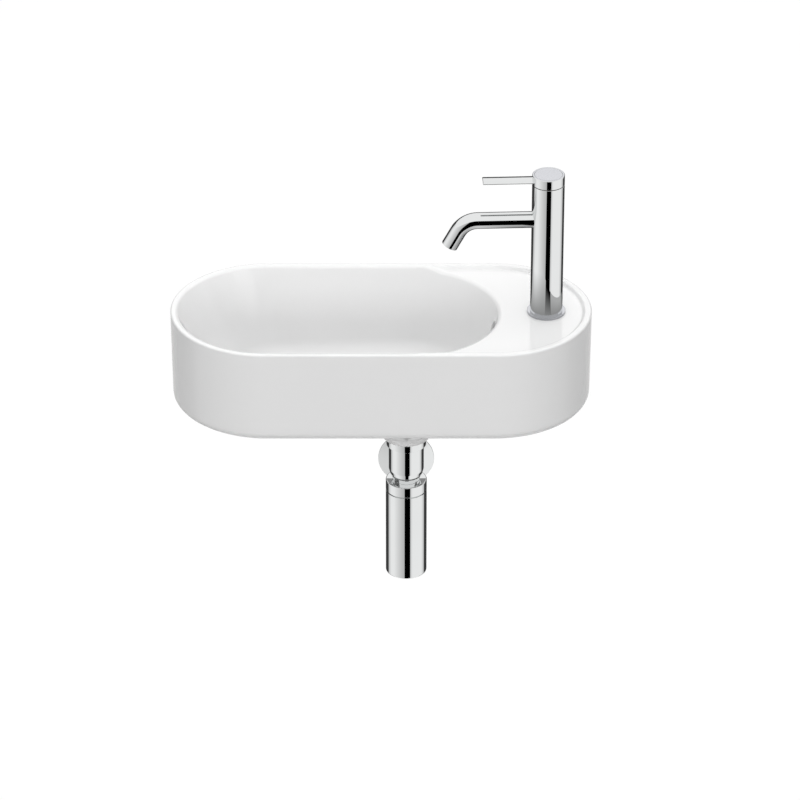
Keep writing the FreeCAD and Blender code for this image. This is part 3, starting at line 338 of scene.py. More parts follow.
# Bowl; WALL_HIGH and WALL_LOW are shares of its depth
BOWL_PAST_DRAIN = 3.6
BOWL_RIGHT = DRAIN_X + BOWL_PAST_DRAIN
BOWL_DEPTH = 101.0
BOWL_RIM_RADIUS = RIM_RADIUS - RIM_WIDTH
BOWL_FLOOR_RADIUS = 77.5
BOWL_FLOOR_SHIFT = 29.0
BOWL_FLOOR_LEFT = BOWL_FLOOR_SHIFT - END_CENTRE
BOWL_WALL = 8.0
BOWL_SLOPE = (BOWL_RIM_RADIUS - BOWL_FLOOR_RADIUS) / BOWL_DEPTH
WALL_HIGH = 0.15
WALL_LOW = 0.75
COVE_RADIUS = 20.0
COVE_REACH = 15.2
FLOOR_THICKNESS = 9.0
SHELL_FOOT = BOWL_DEPTH + FLOOR_THICKNESS

# Drain and neck; waist and collar are a radius and a drop
FUNNEL_RADIUS = 60.0
FUNNEL_DROP = 6.0
FUNNEL_RUN = 1.0
SEAT_RADIUS = 32.3
SEAT_DROP = 110.0
SEAT_EDGE = 1.0
DRAIN_BORE = 23.0
NECK_BORE = 20.0
BORE_EDGE = 0.5
CHAMBER_RADIUS = 27.0
CHAMBER_ROOF = 118.0
CHAMBER_FLOOR = 150.0
NECK_ROOT_RADIUS = 66.0
NECK_WAIST = (45.0, 150.0)
NECK_COLLAR = (29.5, 167.0)
NECK_END = BASIN_HIGH.z - BASIN_LOW.z
NECK_ROUND = 8.0
NECK_END_ROUND = 4.0
NECK_SECTION = rounded([
    (NECK_ROOT_RADIUS, -SHELL_FOOT, 0), (NECK_WAIST[0], -NECK_WAIST[1], NECK_ROUND),
    (NECK_COLLAR[0], -NECK_COLLAR[1], NECK_ROUND), (NECK_COLLAR[0], -NECK_END, NECK_END_ROUND),
    (NECK_BORE, -NECK_END, BORE_EDGE), (NECK_BORE, -CHAMBER_FLOOR, 0), (CHAMBER_RADIUS, -CHAMBER_FLOOR, 0),
    (CHAMBER_RADIUS, -CHAMBER_ROOF, 0), (DRAIN_BORE, -CHAMBER_ROOF, 0), (DRAIN_BORE, -SEAT_DROP, BORE_EDGE),
    (SEAT_RADIUS, -SEAT_DROP, 0), (SEAT_RADIUS, -BOWL_DEPTH - FUNNEL_DROP, SEAT_EDGE),
    (FUNNEL_RADIUS, -BOWL_DEPTH, FUNNEL_RADIUS), (FUNNEL_RADIUS + FUNNEL_RUN, -BOWL_DEPTH, 0),
], closed=False)[1:]

# Overflow hole, and the duct behind it
OVERFLOW_RADIUS = 11.0
OVERFLOW_DROP = 29.0
OVERFLOW_DEPTH = 24.0
DUCT_HALF_WIDTH = 16.0
DUCT_THICKNESS = 18.0
DUCT_TOP = 11.0
DUCT_FOOT = 134.0
DUCT_CORNER = 5.0

# Holes for the tap and the wall bolts
TAP_HOLE_RADIUS = 16.0
BOLT_SPACING = 220.0
BOLT_HOLE_RADIUS = 6.0

# Steps of the mesh, and the least slope and roof that it allows
END_STEPS = 96
SIDE_STEPS = 48
RUN_STEPS = 8
CUT_SIDES = 64
LEAST_LEAN = 0.01
LEAST_ROOF = 0.5


def bowl_stations():
    """Stations round the bowl: how far along its straight sides, and which way they face."""
    stations = []
    for step in range(END_STEPS):
        stations.append((0.0, math.radians(-90 - 180 * step / END_STEPS)))
    for step in range(SIDE_STEPS):
        stations.append((step / SIDE_STEPS, math.radians(90)))
    for step in range(END_STEPS):
        stations.append((1.0, math.radians(90 - 180 * step / END_STEPS)))
    for step in range(SIDE_STEPS):
        stations.append((1 - step / SIDE_STEPS, math.radians(-90)))
    return stations


def on_stadium(share, angle, left, radius):
    """Point at a station on a stadium outline that ends at the bowl's right end."""
    return Vector((left + share * (BOWL_RIGHT - left) + radius * math.cos(angle), radius * math.sin(angle)))


def rim_exit(start, way):
    """Where a level line from inside the rim meets its outline, and the outward direction there."""
    end = way.x
    if abs(way.y) > MERGE_DISTANCE:
        reach = (math.copysign(RIM_RADIUS, way.y) - start.y) / way.y
        point = start + way * reach
        end = point.x
        if abs(end) <= END_CENTRE + MERGE_DISTANCE:
            return point, Vector((0, math.copysign(1, way.y)))
    centre = Vector((math.copysign(END_CENTRE, end), 0))
    arm = start - centre
    along = arm.dot(way)
    reach = -along + math.sqrt(along * along - arm.dot(arm) + RIM_RADIUS * RIM_RADIUS)
    point = start + way * reach
    return point, (point - centre).normalized()


def lean(edge, inset):
    """How far an outline that is drawn in moves at a place on the rim: at the front and ends alone."""
    centre_x = math.copysign(min(abs(edge.x), END_CENTRE), edge.x)
    across = (edge.x - centre_x) / RIM_RADIUS
    forward = edge.y / RIM_RADIUS
    return Vector((-centre_x / END_CENTRE - across, 1 - forward)) * (inset / 2)


def smooth_step(share):
    share = min(max(share, 0.0), 1.0)
    return share * share * (3 - 2 * share)


def lifted(plan, up):
    return Vector((plan.x, plan.y, up))


def upper_section(top, floor, edge, outward):
    """From the cove of the bowl's floor up the wall, over the lip and the deck to the rim."""
    run = (top - floor).length
    inward = (floor - top).normalized()
    margin = (edge - top).dot(outward)
    drop = DECK_DROP * smooth_step((margin - DECK_RIM_WIDTH) / DECK_FADE)
    rim_width = min(DECK_RIM_WIDTH, margin - LIP_REACH)
    rim_inner = edge - outward * rim_width
    step_foot = rim_inner - outward * (drop * DECK_STEP_SLOPE)
    to_foot = (step_foot - top).length
    to_inner = to_foot + (rim_inner - step_foot).length
    section = rounded([
        (-run - COVE_REACH, -BOWL_DEPTH, 0), (-run, -BOWL_DEPTH, COVE_RADIUS, RUN_STEPS),
        (-run * WALL_LOW, -BOWL_DEPTH * WALL_LOW, 0), (-run * WALL_HIGH, -BOWL_DEPTH * WALL_HIGH, 0),
        (-run * drop / BOWL_DEPTH, -drop, LIP_ROUND, RUN_STEPS), (to_foot, -drop, DECK_STEP_ROUND),
        (to_inner, 0, RIM_ROUND), (to_inner + rim_width - RIM_SPLIT, 0, 0),
    ], closed=False)
    points = []
    for across, up in section:
        if across < 0:
            plan = top - inward * across
        elif across < to_foot:
            plan = top.lerp(step_foot, across / to_foot)
        elif across < to_inner:
            plan = step_foot.lerp(rim_inner, (across - to_foot) / (to_inner - to_foot))
        else:
            plan = rim_inner + outward * (across - to_inner)
        points.append(lifted(plan, up))
    return points


def foot_width(edge, outward):
    """Thickness of the skirt at its foot: thicker at the front and ends than at the back."""
    return SKIRT_WALL - lean(edge, HOLLOW_INSET - SKIRT_INSET).dot(outward)


def skirt_section(edge, outward):
    """From the rim down the outside, round the foot and half-way up the inside."""
    width = foot_width(edge, outward)
    section = rounded([
        (-RIM_SPLIT, 0, 0), (0, 0, RIM_ROUND, RUN_STEPS), (0, -SKIRT_HIGH, 0), (0, -SKIRT_LOW, 0),
        (0, -SKIRT_DEPTH, FOOT_ROUND),
        (-width, -SKIRT_DEPTH, FOOT_EDGE), (-width, -SKIRT_DEPTH / 2, 0),
    ], closed=False)
    points = []
    for across, up in section[1:]:
        plan = edge + outward * across + lean(edge, SKIRT_INSET) * (-up / SKIRT_DEPTH)
        points.append(lifted(plan, up))
    return points


def under_section(top, floor, way, edge, outward):
    """From the inside of the skirt over the roof and down the bowl's shell to the neck."""
    fall = (top - floor) / BOWL_DEPTH
    inner = edge - outward * foot_width(edge, outward)
    room = (inner - top).dot(way)
    meet = max(DECK_UNDERSIDE, (BOWL_WALL - room) / max(fall.dot(way), LEAST_LEAN))
    roof_in = top - fall * meet + way * BOWL_WALL
    roof_out = inner + lean(edge, SKIRT_INSET) * (meet / SKIRT_DEPTH)
    if (roof_out - roof_in).dot(way) < LEAST_ROOF:
        roof_out = roof_in + way * LEAST_ROOF
    low = top - fall * SHELL_FOOT + way * BOWL_WALL
    drain = Vector((DRAIN_X, 0))
    to_drain = (drain - low).normalized()
    slant = (roof_in - low).length
    to_neck = (drain - low).length - NECK_ROOT_RADIUS
    section = rounded([
        (slant, -meet, 0, RUN_STEPS), (0, -SHELL_FOOT, COVE_RADIUS + BOWL_WALL), (-to_neck, -SHELL_FOOT, 0),
    ], closed=False)
    points = [lifted(roof_out, -meet)]
    for across, up in section:
        plan = low.lerp(roof_in, across / slant) if across > 0 else low - to_drain * across
        points.append(lifted(plan, up))
    for radius, up in NECK_SECTION:
        points.append(lifted(drain - to_drain * radius, up))
    return points


def basin_mesh():
    """The ceramic body as one closed skin, one section loop for each station round the bowl."""
    bm = bmesh.new()
    rings = []
    for share, angle in bowl_stations():
        way = Vector((math.cos(angle), math.sin(angle)))
        top = on_stadium(share, angle, -END_CENTRE, BOWL_RIM_RADIUS)
        floor = on_stadium(share, angle, BOWL_FLOOR_LEFT, BOWL_FLOOR_RADIUS)
        edge, outward = rim_exit(top, way)
        loop = upper_section(top, floor, edge, outward) + skirt_section(edge, outward)
        loop += under_section(top, floor, way, edge, outward)
        rings.append([bm.verts.new(point + BASIN_AT) for point in loop])
    join(bm, rings + rings[:1])
    return bm


def rod(place, radius, foot, top):
    """A round bar that cuts a hole."""
    bm = bmesh.new()
    spin(bm, [(0, foot), (radius, foot), (radius, top), (0, top)], straight(place), CUT_SIDES)
    return solid("tool", bm)


def overflow_duct():
    """The duct on the outside of the bowl's right wall, down and in to the neck."""
    def wall_x(drop):
        return BOWL_RIGHT + BOWL_RIM_RADIUS + BOWL_WALL / 2 - BOWL_SLOPE * drop

    outer = DUCT_THICKNESS + BOWL_WALL / 2
    roof = SHELL_FOOT - BOWL_WALL / 2
    corner = (COVE_RADIUS + BOWL_WALL) / 2
    outline = rounded([
        (wall_x(DUCT_TOP), -DUCT_TOP, 0), (wall_x(DUCT_TOP) + outer, -DUCT_TOP, 0),
        (wall_x(DUCT_FOOT) + outer, -DUCT_FOOT, DUCT_CORNER), (DRAIN_X + CHAMBER_RADIUS, -DUCT_FOOT, 0),
        (DRAIN_X + CHAMBER_RADIUS, -roof, 0), (wall_x(roof) - corner, -roof, 0),
        (wall_x(roof - corner), corner - roof, 0),
    ])
    bm = bmesh.new()
    rings = []
    for side in (-DUCT_HALF_WIDTH, DUCT_HALF_WIDTH):
        rings.append([bm.verts.new(Vector((across, side, up)) + BASIN_AT) for across, up in outline])
    loft(bm, rings)
    return solid("tool", bm)


def combine(item, added, cut):
    """Adds solids to a piece, cuts others out of it, and clears the tools away."""
    for operation, tools in (("UNION", added), ("DIFFERENCE", cut)):
        for other in tools:
            step = item.modifiers.new("combine", "BOOLEAN")
            step.operation = operation
            step.solver = "EXACT"
            step.object = other
    graph = bpy.context.evaluated_depsgraph_get()
    mesh = bpy.data.meshes.new_from_object(item.evaluated_get(graph))
    item.modifiers.clear()
    item.data = mesh
    for other in added + cut:
        bpy.data.objects.remove(other)
    smooth(item)


def make_basin():
    item = piece("basin_glazed", basin_mesh(), "basin_set", ["basin"], "glazed_white")
    item.modifiers.clear()
    wall_x = BOWL_RIGHT + BOWL_RIM_RADIUS - BOWL_SLOPE * OVERFLOW_DROP
    overflow = Matrix.Translation(BASIN_AT + Vector((wall_x, 0, -OVERFLOW_DROP)))
    overflow @= Matrix.Rotation(math.pi / 2 + math.atan(BOWL_SLOPE), 4, "Y")
    holes = [rod(overflow, OVERFLOW_RADIUS, -BOWL_WALL, OVERFLOW_DEPTH),
             rod(TAP, TAP_HOLE_RADIUS, BASIN_AT.z - DECK_UNDERSIDE * 2, BASIN_AT.z + DECK_UNDERSIDE)]
    for side in (-1, 1):
        bolt = Matrix.Translation((side * BOLT_SPACING / 2, 0, 0)) @ Matrix.Rotation(math.pi / 2, 4, "X")
        holes.append(rod(bolt, BOLT_HOLE_RADIUS, -SKIRT_WALL, SKIRT_WALL * 2))
    combine(item, [overflow_duct()], holes)


make_basin()


# Waste, union and trap, about the drain's axis

TUBE_RADIUS = 16.0
TUBE_BORE = 14.8
SLIP = 0.1
LOOSE_SLIP = 0.3
TAIL_RADIUS = 19.0
NUT_EDGE = 0.8
HOLE_EDGE = 0.2
FINE_EDGE = 0.35
UNION_END_RADIUS = 18.7
UNION_STRAIGHT = 32.0
UNION_BEND = 5.0
UNION_SEAT = 18.0
TUBE_COLLAR = 3.0
TRAP_NECK_RADIUS = 22.2
TRAP_WALL = 1.8
TRAP_SEAM = 1.6
SEAM_EDGE = 0.1
TRAP_NECK = 5.5
TRAP_ROOF = 2.0
TRAP_BASE = 6.0
TRAP_FOOT_ROUND = 1.5
HEAD_PLATE = 2.5
HEAD_EDGE = 1.2
PLUG_HOLE = 15.3
PLUG_SINK_RADIUS = 18.3
PLUG_SINK_DEPTH = 3.5
BOSS_RADIUS = 18.6
BOSS_END = -73.0
BOSS_START = -98.0
CAP_RIM = 1.3
CAP_SHOULDER = (0.8, 3.2)


def ring_section(node, inner, edge):
    """Section of a ring that fills a node's box, with a plain hole."""
    low, high = node_box(node)
    outer = node_radius(node)
    return [(inner, low.z, HOLE_EDGE), (outer, low.z, edge),
            (outer, high.z, edge), (inner, high.z, HOLE_EDGE)]


def make_waste():
    washer = ring_section("waste_washer", TAIL_RADIUS, NUT_EDGE / 2)
    turned("waste_washer", washer, DRAIN, slot="black_rubber")
    turned("waste_backnut", ring_section("waste_backnut", TAIL_RADIUS, HOLE_EDGE), DRAIN)
    low, high = node_box("union_nut")
    outer = node_radius("union_nut")
    turned("union_nut", [
        (TUBE_RADIUS + SLIP, low.z, HOLE_EDGE), (UNION_END_RADIUS, low.z, NUT_EDGE),
        (outer, high.z - UNION_STRAIGHT, UNION_BEND), (outer, high.z, HOLE_EDGE),
        (TAIL_RADIUS, high.z, HOLE_EDGE), (TAIL_RADIUS, low.z + UNION_SEAT, 0),
        (TUBE_RADIUS + SLIP, low.z + UNION_SEAT, 0),
    ], DRAIN)
    low, high = node_box("inlet_tube")
    collar = node_radius("inlet_tube")
    turned("inlet_tube", [
        (TUBE_BORE, low.z, HOLE_EDGE), (TUBE_RADIUS, low.z, HOLE_EDGE),
        (TUBE_RADIUS, high.z - TUBE_COLLAR, 0), (collar, high.z - TUBE_COLLAR, HOLE_EDGE),
        (collar, high.z, HOLE_EDGE), (TUBE_BORE, high.z, HOLE_EDGE),
    ], DRAIN)


def make_plug():
    low, high = node_box("plug_cap")
    outer = node_radius("plug_cap")
    share, rise = CAP_SHOULDER
    turned("plug_cap", [
        (0, low.z, 0), (outer, low.z, HOLE_EDGE), (outer, low.z + CAP_RIM, CAP_RIM),
        (outer * share, low.z + rise, outer), (0, high.z, 0),
    ], DRAIN, "push_plug")


def make_trap():
    low, high = node_box("trap_head_nut")
    outer = node_radius("trap_head_nut")
    turned("trap_head_nut", [
        (TRAP_NECK_RADIUS + SLIP, low.z, 0), (outer, low.z, SEAM_EDGE), (outer, high.z, HEAD_EDGE),
        (TUBE_RADIUS + SLIP, high.z, HOLE_EDGE), (TUBE_RADIUS + SLIP, high.z - HEAD_PLATE, 0),
        (TRAP_NECK_RADIUS + SLIP, high.z - HEAD_PLATE, 0),
    ], DRAIN)
    foot = node_box("trap_body")[0].z
    shoulder = low.z - TRAP_SEAM
    hole = TUBE_RADIUS + LOOSE_SLIP
    bm = bmesh.new()
    spin(bm, rounded([
        (PLUG_SINK_RADIUS, foot, HOLE_EDGE), (outer, foot, TRAP_FOOT_ROUND), (outer, shoulder, SEAM_EDGE),
        (TRAP_NECK_RADIUS, shoulder, 0), (TRAP_NECK_RADIUS, shoulder + TRAP_NECK, HOLE_EDGE),
        (hole, shoulder + TRAP_NECK, HOLE_EDGE), (hole, shoulder - TRAP_ROOF, 0),
        (outer - TRAP_WALL, shoulder - TRAP_ROOF, 0), (outer - TRAP_WALL, foot + TRAP_BASE, TRAP_ROOF),
        (PLUG_HOLE, foot + TRAP_BASE, HOLE_EDGE), (PLUG_HOLE, foot + PLUG_SINK_DEPTH, 0),
        (PLUG_SINK_RADIUS, foot + PLUG_SINK_DEPTH, 0),
    ]), straight(DRAIN))
    spin(bm, rounded([
        (hole, BOSS_START, 0), (BOSS_RADIUS, BOSS_START, 0), (BOSS_RADIUS, BOSS_END, FINE_EDGE),
        (hole, BOSS_END, HOLE_EDGE),
    ]), straight(OUTLET))
    piece("trap_body_shell", bm, "basin_set", ["trap_body"], "chrome")


make_waste()
make_plug()
make_trap()


# Outlet to the wall, heights along its own axis

NUT_LIP = 3.0
TUBE_STEP = 2.0
TUBE_END_RADIUS = 15.5
ROSETTE_HOLE = 16.3
ROSETTE_EDGE = 1.8
ROSETTE_NOSE = 19.5


def make_outlet():
    low, high = node_box("outlet_nut")
    outer = node_radius("outlet_nut")
    turned("outlet_nut", [
        (TUBE_RADIUS + SLIP, high.y, HOLE_EDGE), (outer, high.y, NUT_EDGE), (outer, low.y, NUT_EDGE),
        (BOSS_RADIUS + SLIP, low.y, HOLE_EDGE), (BOSS_RADIUS + SLIP, high.y - NUT_LIP, 0),
        (TUBE_RADIUS + SLIP, high.y - NUT_LIP, 0),
    ], OUTLET)
    low, high = node_box("outlet_tube")
    turned("outlet_tube", [
        (TUBE_BORE, low.y, HOLE_EDGE), (TUBE_RADIUS, low.y, HOLE_EDGE), (TUBE_RADIUS, TUBE_STEP, HOLE_EDGE),
        (TUBE_END_RADIUS, TUBE_STEP, 0), (TUBE_END_RADIUS, high.y, HOLE_EDGE), (TUBE_BORE, high.y, HOLE_EDGE),
    ], OUTLET)
    low, high = node_box("wall_rosette")
    outer = node_radius("wall_rosette")
    turned("wall_rosette", [
        (ROSETTE_HOLE, high.y, 0), (outer, high.y, HOLE_EDGE), (outer, high.y - ROSETTE_EDGE, NUT_EDGE),
        (ROSETTE_NOSE, low.y, NUT_EDGE), (ROSETTE_HOLE, low.y, HOLE_EDGE),
    ], OUTLET, "rosette")


make_outlet()


# Tap, in a frame on its own axis

TAP_WALL = 3.0
CAP_EDGE = 0.9
DISC_GAP = 0.15
CAP_WEB = 3.8
LEVEL_FACE = 0.9
SPOUT_HEIGHT = 207.0
SPOUT_RADIUS = 9.8
SPOUT_WALL = 1.3
SPOUT_START = 8.0
SPOUT_STRAIGHT = 74.4
SPOUT_BEND = 26.0
SPOUT_TURN = math.radians(61.5)
SPOUT_TAIL = 21.3
SPOUT_STEPS = 64
LEVER_ROOT = 14.5
LEVER_REACH = 77.0
LEVER_HALF = 9.4
LEVER_FLAT = 3.6
LEVER_CROWN = 1.4
LEVER_EDGE_HEIGHT = 0.9
LEVER_LIFT = 0.5
LEVER_ROUND = 0.3
LEVER_TIP_ROUND = 0.3


def make_column():
    low, high = node_box("tap_base_ring")
    ring = node_radius("tap_base_ring")
    column = node_radius("tap_column")
    inner = column - TAP_WALL
    turned("tap_base_ring", [
        (inner, low.z, 0), (ring, low.z, HOLE_EDGE), (ring, high.z, FINE_EDGE), (inner, high.z, 0),
    ], TAP, look=DISC_CHROME)
    top = node_box("tap_column")[1].z
    turned("tap_column", [
        (inner, top - CAP_WEB, 0), (column, high.z, 0), (column, top, FINE_EDGE), (inner, top, HOLE_EDGE),
    ], TAP)


def along_spout(length):
    """Frame across the spout at a length from its root: level, then round the bend and down the tail."""
    bend = min(max(length - SPOUT_STRAIGHT, 0) / SPOUT_BEND, SPOUT_TURN)
    tail = max(length - SPOUT_STRAIGHT - SPOUT_BEND * SPOUT_TURN, 0)
    level_run = min(length, SPOUT_STRAIGHT)
    ahead = Vector((-math.cos(bend), 0, -math.sin(bend)))
    place = Vector((-SPOUT_START - level_run - SPOUT_BEND * math.sin(bend), 0,
                    SPOUT_HEIGHT - SPOUT_BEND * (1 - math.cos(bend)))) + ahead * tail
    side = Vector((0, 1, 0))
    frame_here = Matrix((side, ahead.cross(side), ahead)).transposed().to_4x4()
    return TAP @ Matrix.Translation(place) @ frame_here


def make_spout():
    length = SPOUT_STRAIGHT + SPOUT_BEND * SPOUT_TURN + SPOUT_TAIL
    bm = bmesh.new()
    spin(bm, rounded([
        (SPOUT_RADIUS, 0, 0, SPOUT_STEPS), (SPOUT_RADIUS, length, FINE_EDGE),
        (SPOUT_RADIUS - SPOUT_WALL, length, FINE_EDGE, SPOUT_STEPS), (SPOUT_RADIUS - SPOUT_WALL, 0, 0),
    ]), along_spout)
    piece("tap_spout_tube", bm, "basin_set", ["tap_spout"], "chrome")


def make_cap():
    """The turning cap, whose level faces have the softer chrome of the disc in its top."""
    low, high = node_box("handle_cap")
    column = node_radius("tap_column")
    disc_low, disc_high = node_box("handle_top_disc")
    disc = node_radius("handle_top_disc")
    inner = column - TAP_WALL
    cap = turned("handle_cap", [
        (inner, low.z, HOLE_EDGE), (column, low.z, FINE_EDGE), (column, high.z, CAP_EDGE),
        (disc + DISC_GAP, high.z, HOLE_EDGE), (disc + DISC_GAP, disc_low.z, 0), (0, disc_low.z, 0),
        (0, disc_low.z - CAP_WEB, 0), (inner, disc_low.z - CAP_WEB, 0),
    ], TAP, "tap_handle")
    cap.data.materials.append(DISC_CHROME)
    for face in cap.data.polygons:
        if face.normal.z > LEVEL_FACE and face.center.z > disc_low.z * MM:
            face.material_index = 1
    turned("handle_top_disc", [
        (0, disc_low.z, 0), (disc, disc_low.z, 0), (disc, disc_high.z, FINE_EDGE), (0, disc_high.z, 0),
    ], TAP, "tap_handle", look=DISC_CHROME)


def make_lever():
    """A level bar with a slightly crowned top, drawn in at its tip."""
    top = node_box("handle_lever")[1].z + LEVER_LIFT
    foot = top - LEVER_CROWN - LEVER_EDGE_HEIGHT
    full_reach = LEVER_REACH - LEVER_TIP_ROUND
    bm = bmesh.new()
    rings = []
    for reach, shrink in ((LEVER_ROOT, 0), (full_reach, 0), (LEVER_REACH, LEVER_TIP_ROUND)):
        half = LEVER_HALF - shrink
        edge = top - LEVER_CROWN - shrink
        section = rounded([
            (-half, foot + shrink, LEVER_ROUND), (half, foot + shrink, LEVER_ROUND),
            (half, edge, LEVER_ROUND), (LEVER_FLAT, top - shrink, LEVER_ROUND),
            (-LEVER_FLAT, top - shrink, LEVER_ROUND), (-half, edge, LEVER_ROUND),
        ])
        rings.append([bm.verts.new(TAP @ Vector((-reach, across, up))) for across, up in section])
    loft(bm, rings)
    piece("handle_lever_bar", bm, "tap_handle", ["handle_lever"], "chrome")


make_column()
make_spout()
make_cap()
make_lever()


# Camera at the photograph's angle, in metres

CAMERA_AT = (0.02241, -4.94255, 2.72553)
CAMERA_ELEVATION = 29.784
CAMERA_TILT = math.radians(90 - CAMERA_ELEVATION)
CAMERA_LENS = 208.72
CAMERA_SENSOR = 36.0
CAMERA_REACH = 50.0


def make_camera():
    data = bpy.data.cameras.new("camera")
    data.sensor_width = CAMERA_SENSOR
    data.lens = CAMERA_LENS
    data.clip_end = CAMERA_REACH
    item = bpy.data.objects.new("camera", data)
    item.location = CAMERA_AT
    item.rotation_euler = (CAMERA_TILT, 0, 0)
    bpy.context.scene.collection.objects.link(item)
    bpy.context.scene.camera = item


# Studio in metres: a pale floor, white surroundings, a soft lamp, and cards that only reflections show

SEEN = ["Is Camera Ray", "Is Glossy Ray", "Is Transmission Ray"]
FLOOR_Z = -0.8
FLOOR_HALF = 12.0
FLOOR_GREY = 0.26
FLOOR_ROUGHNESS = 0.9
FLOOR_GLOW = 0.85
FLOOR_WHITE = 1.13
SKY_TOP = 2.1
SKY_POWER = 2.0
LAMP_AT = (0.0, -3.2, 0.6)
LAMP_AIM = (0.0, -0.1, 0.0)
LAMP_SIZE = (3.0, 1.0)
LAMP_POWER = 46.0
CARD_STEP = 6.0
CARD_DISTANCE = 3.0

# Levels of the cards round the object, which paint the reflections that metal and glaze show, each its own,
# as stops of a bearing in degrees and a level
METAL_FRONT = [(-70, 1.0), (-9, 0.55), (-8, 0.0), (22, 0.0), (23, 0.72), (36, 1.0), (90, 1.0)]
METAL_BACK = [(92, 1.0), (115, 0.62), (119, 0.05), (241, 0.05), (245, 0.62), (268, 1.0)]
GLAZE_FRONT = [(-70, 0.3), (-8, 0.1), (21, 0.1), (23, 1.1), (42, 1.1), (46, 0.6), (90, 0.6)]
GLAZE_LOW = [(-70, 0.9), (90, 0.9)]
GLAZE_BACK = [(92, 0.75), (268, 0.75)]
METAL_TOP = [(92, 1.0), (268, 1.0)]
GLAZE_TOP = [(92, 1.6), (268, 1.6)]

# Name, lowest and highest elevation in degrees, and the levels that metal and glaze show
BANDS = [
    ("low_card", -78, -8, METAL_FRONT, GLAZE_LOW),
    ("front_card", -8, 21.4, METAL_FRONT, GLAZE_FRONT),
    ("back_card", -60, 24, METAL_BACK, GLAZE_BACK),
    ("top_card", 24, 62, METAL_TOP, GLAZE_TOP),
]

# An upright grey card behind the wall, which only chrome mirrors: painted shade on the top of the trap's head
# nut
TRAP_CARD_LEFT, TRAP_CARD_RIGHT = -0.07, 0.13
TRAP_CARD_FOOT, TRAP_CARD_TOP = 0.101, 0.2
TRAP_CARD_Y = 0.3
TRAP_CARD_SHADE = 0.29

# A card low over the deck that paints the deck's reflection in the chrome, with painted shade round the tap's
# foot: its levels round the tap's foot and at the rim, and its place in millimetres
DECK_FOOT_SHADE = [(-70, 0.3), (92, 0.3), (115, 0.2), (119, 0.05), (241, 0.05), (245, 0.3), (290, 0.3)]
DECK_EDGE = [(-70, 1.0), (-9, 0.55), (-8, 0.0), (22, 0.0), (23, 0.5), (92, 0.5), (115, 0.3), (119, 0.05),
             (241, 0.05), (245, 0.6), (268, 1.0), (290, 1.0)]
DECK_REACH = 120.0
DECK_CARD_LIFT = 0.4
DECK_CARD_GAP = 2.0


def any_ray(nodes, links, kinds):
    """1 for rays of any of the named kinds."""
    path = nodes.new("ShaderNodeLightPath")
    found = path.outputs[kinds[0]]
    for kind in kinds[1:]:
        either = nodes.new("ShaderNodeMath")
        either.operation = "MAXIMUM"
        links.new(found, either.inputs[0])
        links.new(path.outputs[kind], either.inputs[1])
        found = either.outputs[0]
    return found


def make_world():
    """White where it is seen or mirrored, and a sky that brightens upwards where it lights the object."""
    world = bpy.data.worlds.new("studio")
    bpy.context.scene.world = world
    world.use_nodes = True
    nodes = world.node_tree.nodes
    links = world.node_tree.links
    way = nodes.new("ShaderNodeTexCoord")
    split = nodes.new("ShaderNodeSeparateXYZ")
    links.new(way.outputs["Generated"], split.inputs["Vector"])
    height = nodes.new("ShaderNodeMath")
    height.operation = "POWER"
    height.inputs[1].default_value = SKY_POWER
    links.new(split.outputs["Z"], height.inputs[0])
    sky = nodes.new("ShaderNodeMath")
    sky.operation = "MULTIPLY"
    sky.inputs[1].default_value = SKY_TOP
    links.new(height.outputs["Value"], sky.inputs[0])
    level = nodes.new("ShaderNodeMix")
    level.inputs["B"].default_value = 1.0
    links.new(any_ray(nodes, links, SEEN), level.inputs["Factor"])
    links.new(sky.outputs["Value"], level.inputs["A"])
    links.new(level.outputs["Result"], nodes["Background"].inputs["Strength"])
    nodes["Background"].inputs["Color"].default_value = (1, 1, 1, 1)


def sheet(name, corners, faces, material):
    """A thin stage piece."""
    mesh = bpy.data.meshes.new(name)
    mesh.from_pydata(corners, [], faces)
    mesh.materials.append(material)
    item = bpy.data.objects.new(name, mesh)
    bpy.context.scene.collection.objects.link(item)
    return item


def make_floor():
    """A floor that is near white where it is seen, and keeps a share of the object's shadow."""
    material, nodes, links = node_tree("pale_floor")
    shader = nodes["Principled BSDF"]
    shader.inputs["Roughness"].default_value = FLOOR_ROUGHNESS
    shader.inputs["Base Color"].default_value = (FLOOR_GREY, FLOOR_GREY, FLOOR_GREY, 1)
    glow = nodes.new("ShaderNodeEmission")
    glow.inputs["Strength"].default_value = FLOOR_WHITE
    mix = nodes.new("ShaderNodeMixShader")
    share = nodes.new("ShaderNodeMath")
    share.operation = "MULTIPLY"
    share.inputs[1].default_value = FLOOR_GLOW
    links.new(any_ray(nodes, links, SEEN), share.inputs[0])
    links.new(share.outputs[0], mix.inputs["Fac"])
    links.new(shader.outputs["BSDF"], mix.inputs[1])
    links.new(glow.outputs["Emission"], mix.inputs[2])
    links.new(mix.outputs["Shader"], nodes["Material Output"].inputs["Surface"])
    half = FLOOR_HALF
    floor = sheet("floor", [(-half, -half, FLOOR_Z), (half, -half, FLOOR_Z), (half, half, FLOOR_Z),
                            (-half, half, FLOOR_Z)], [(0, 1, 2, 3)], material)
    floor.visible_glossy = False


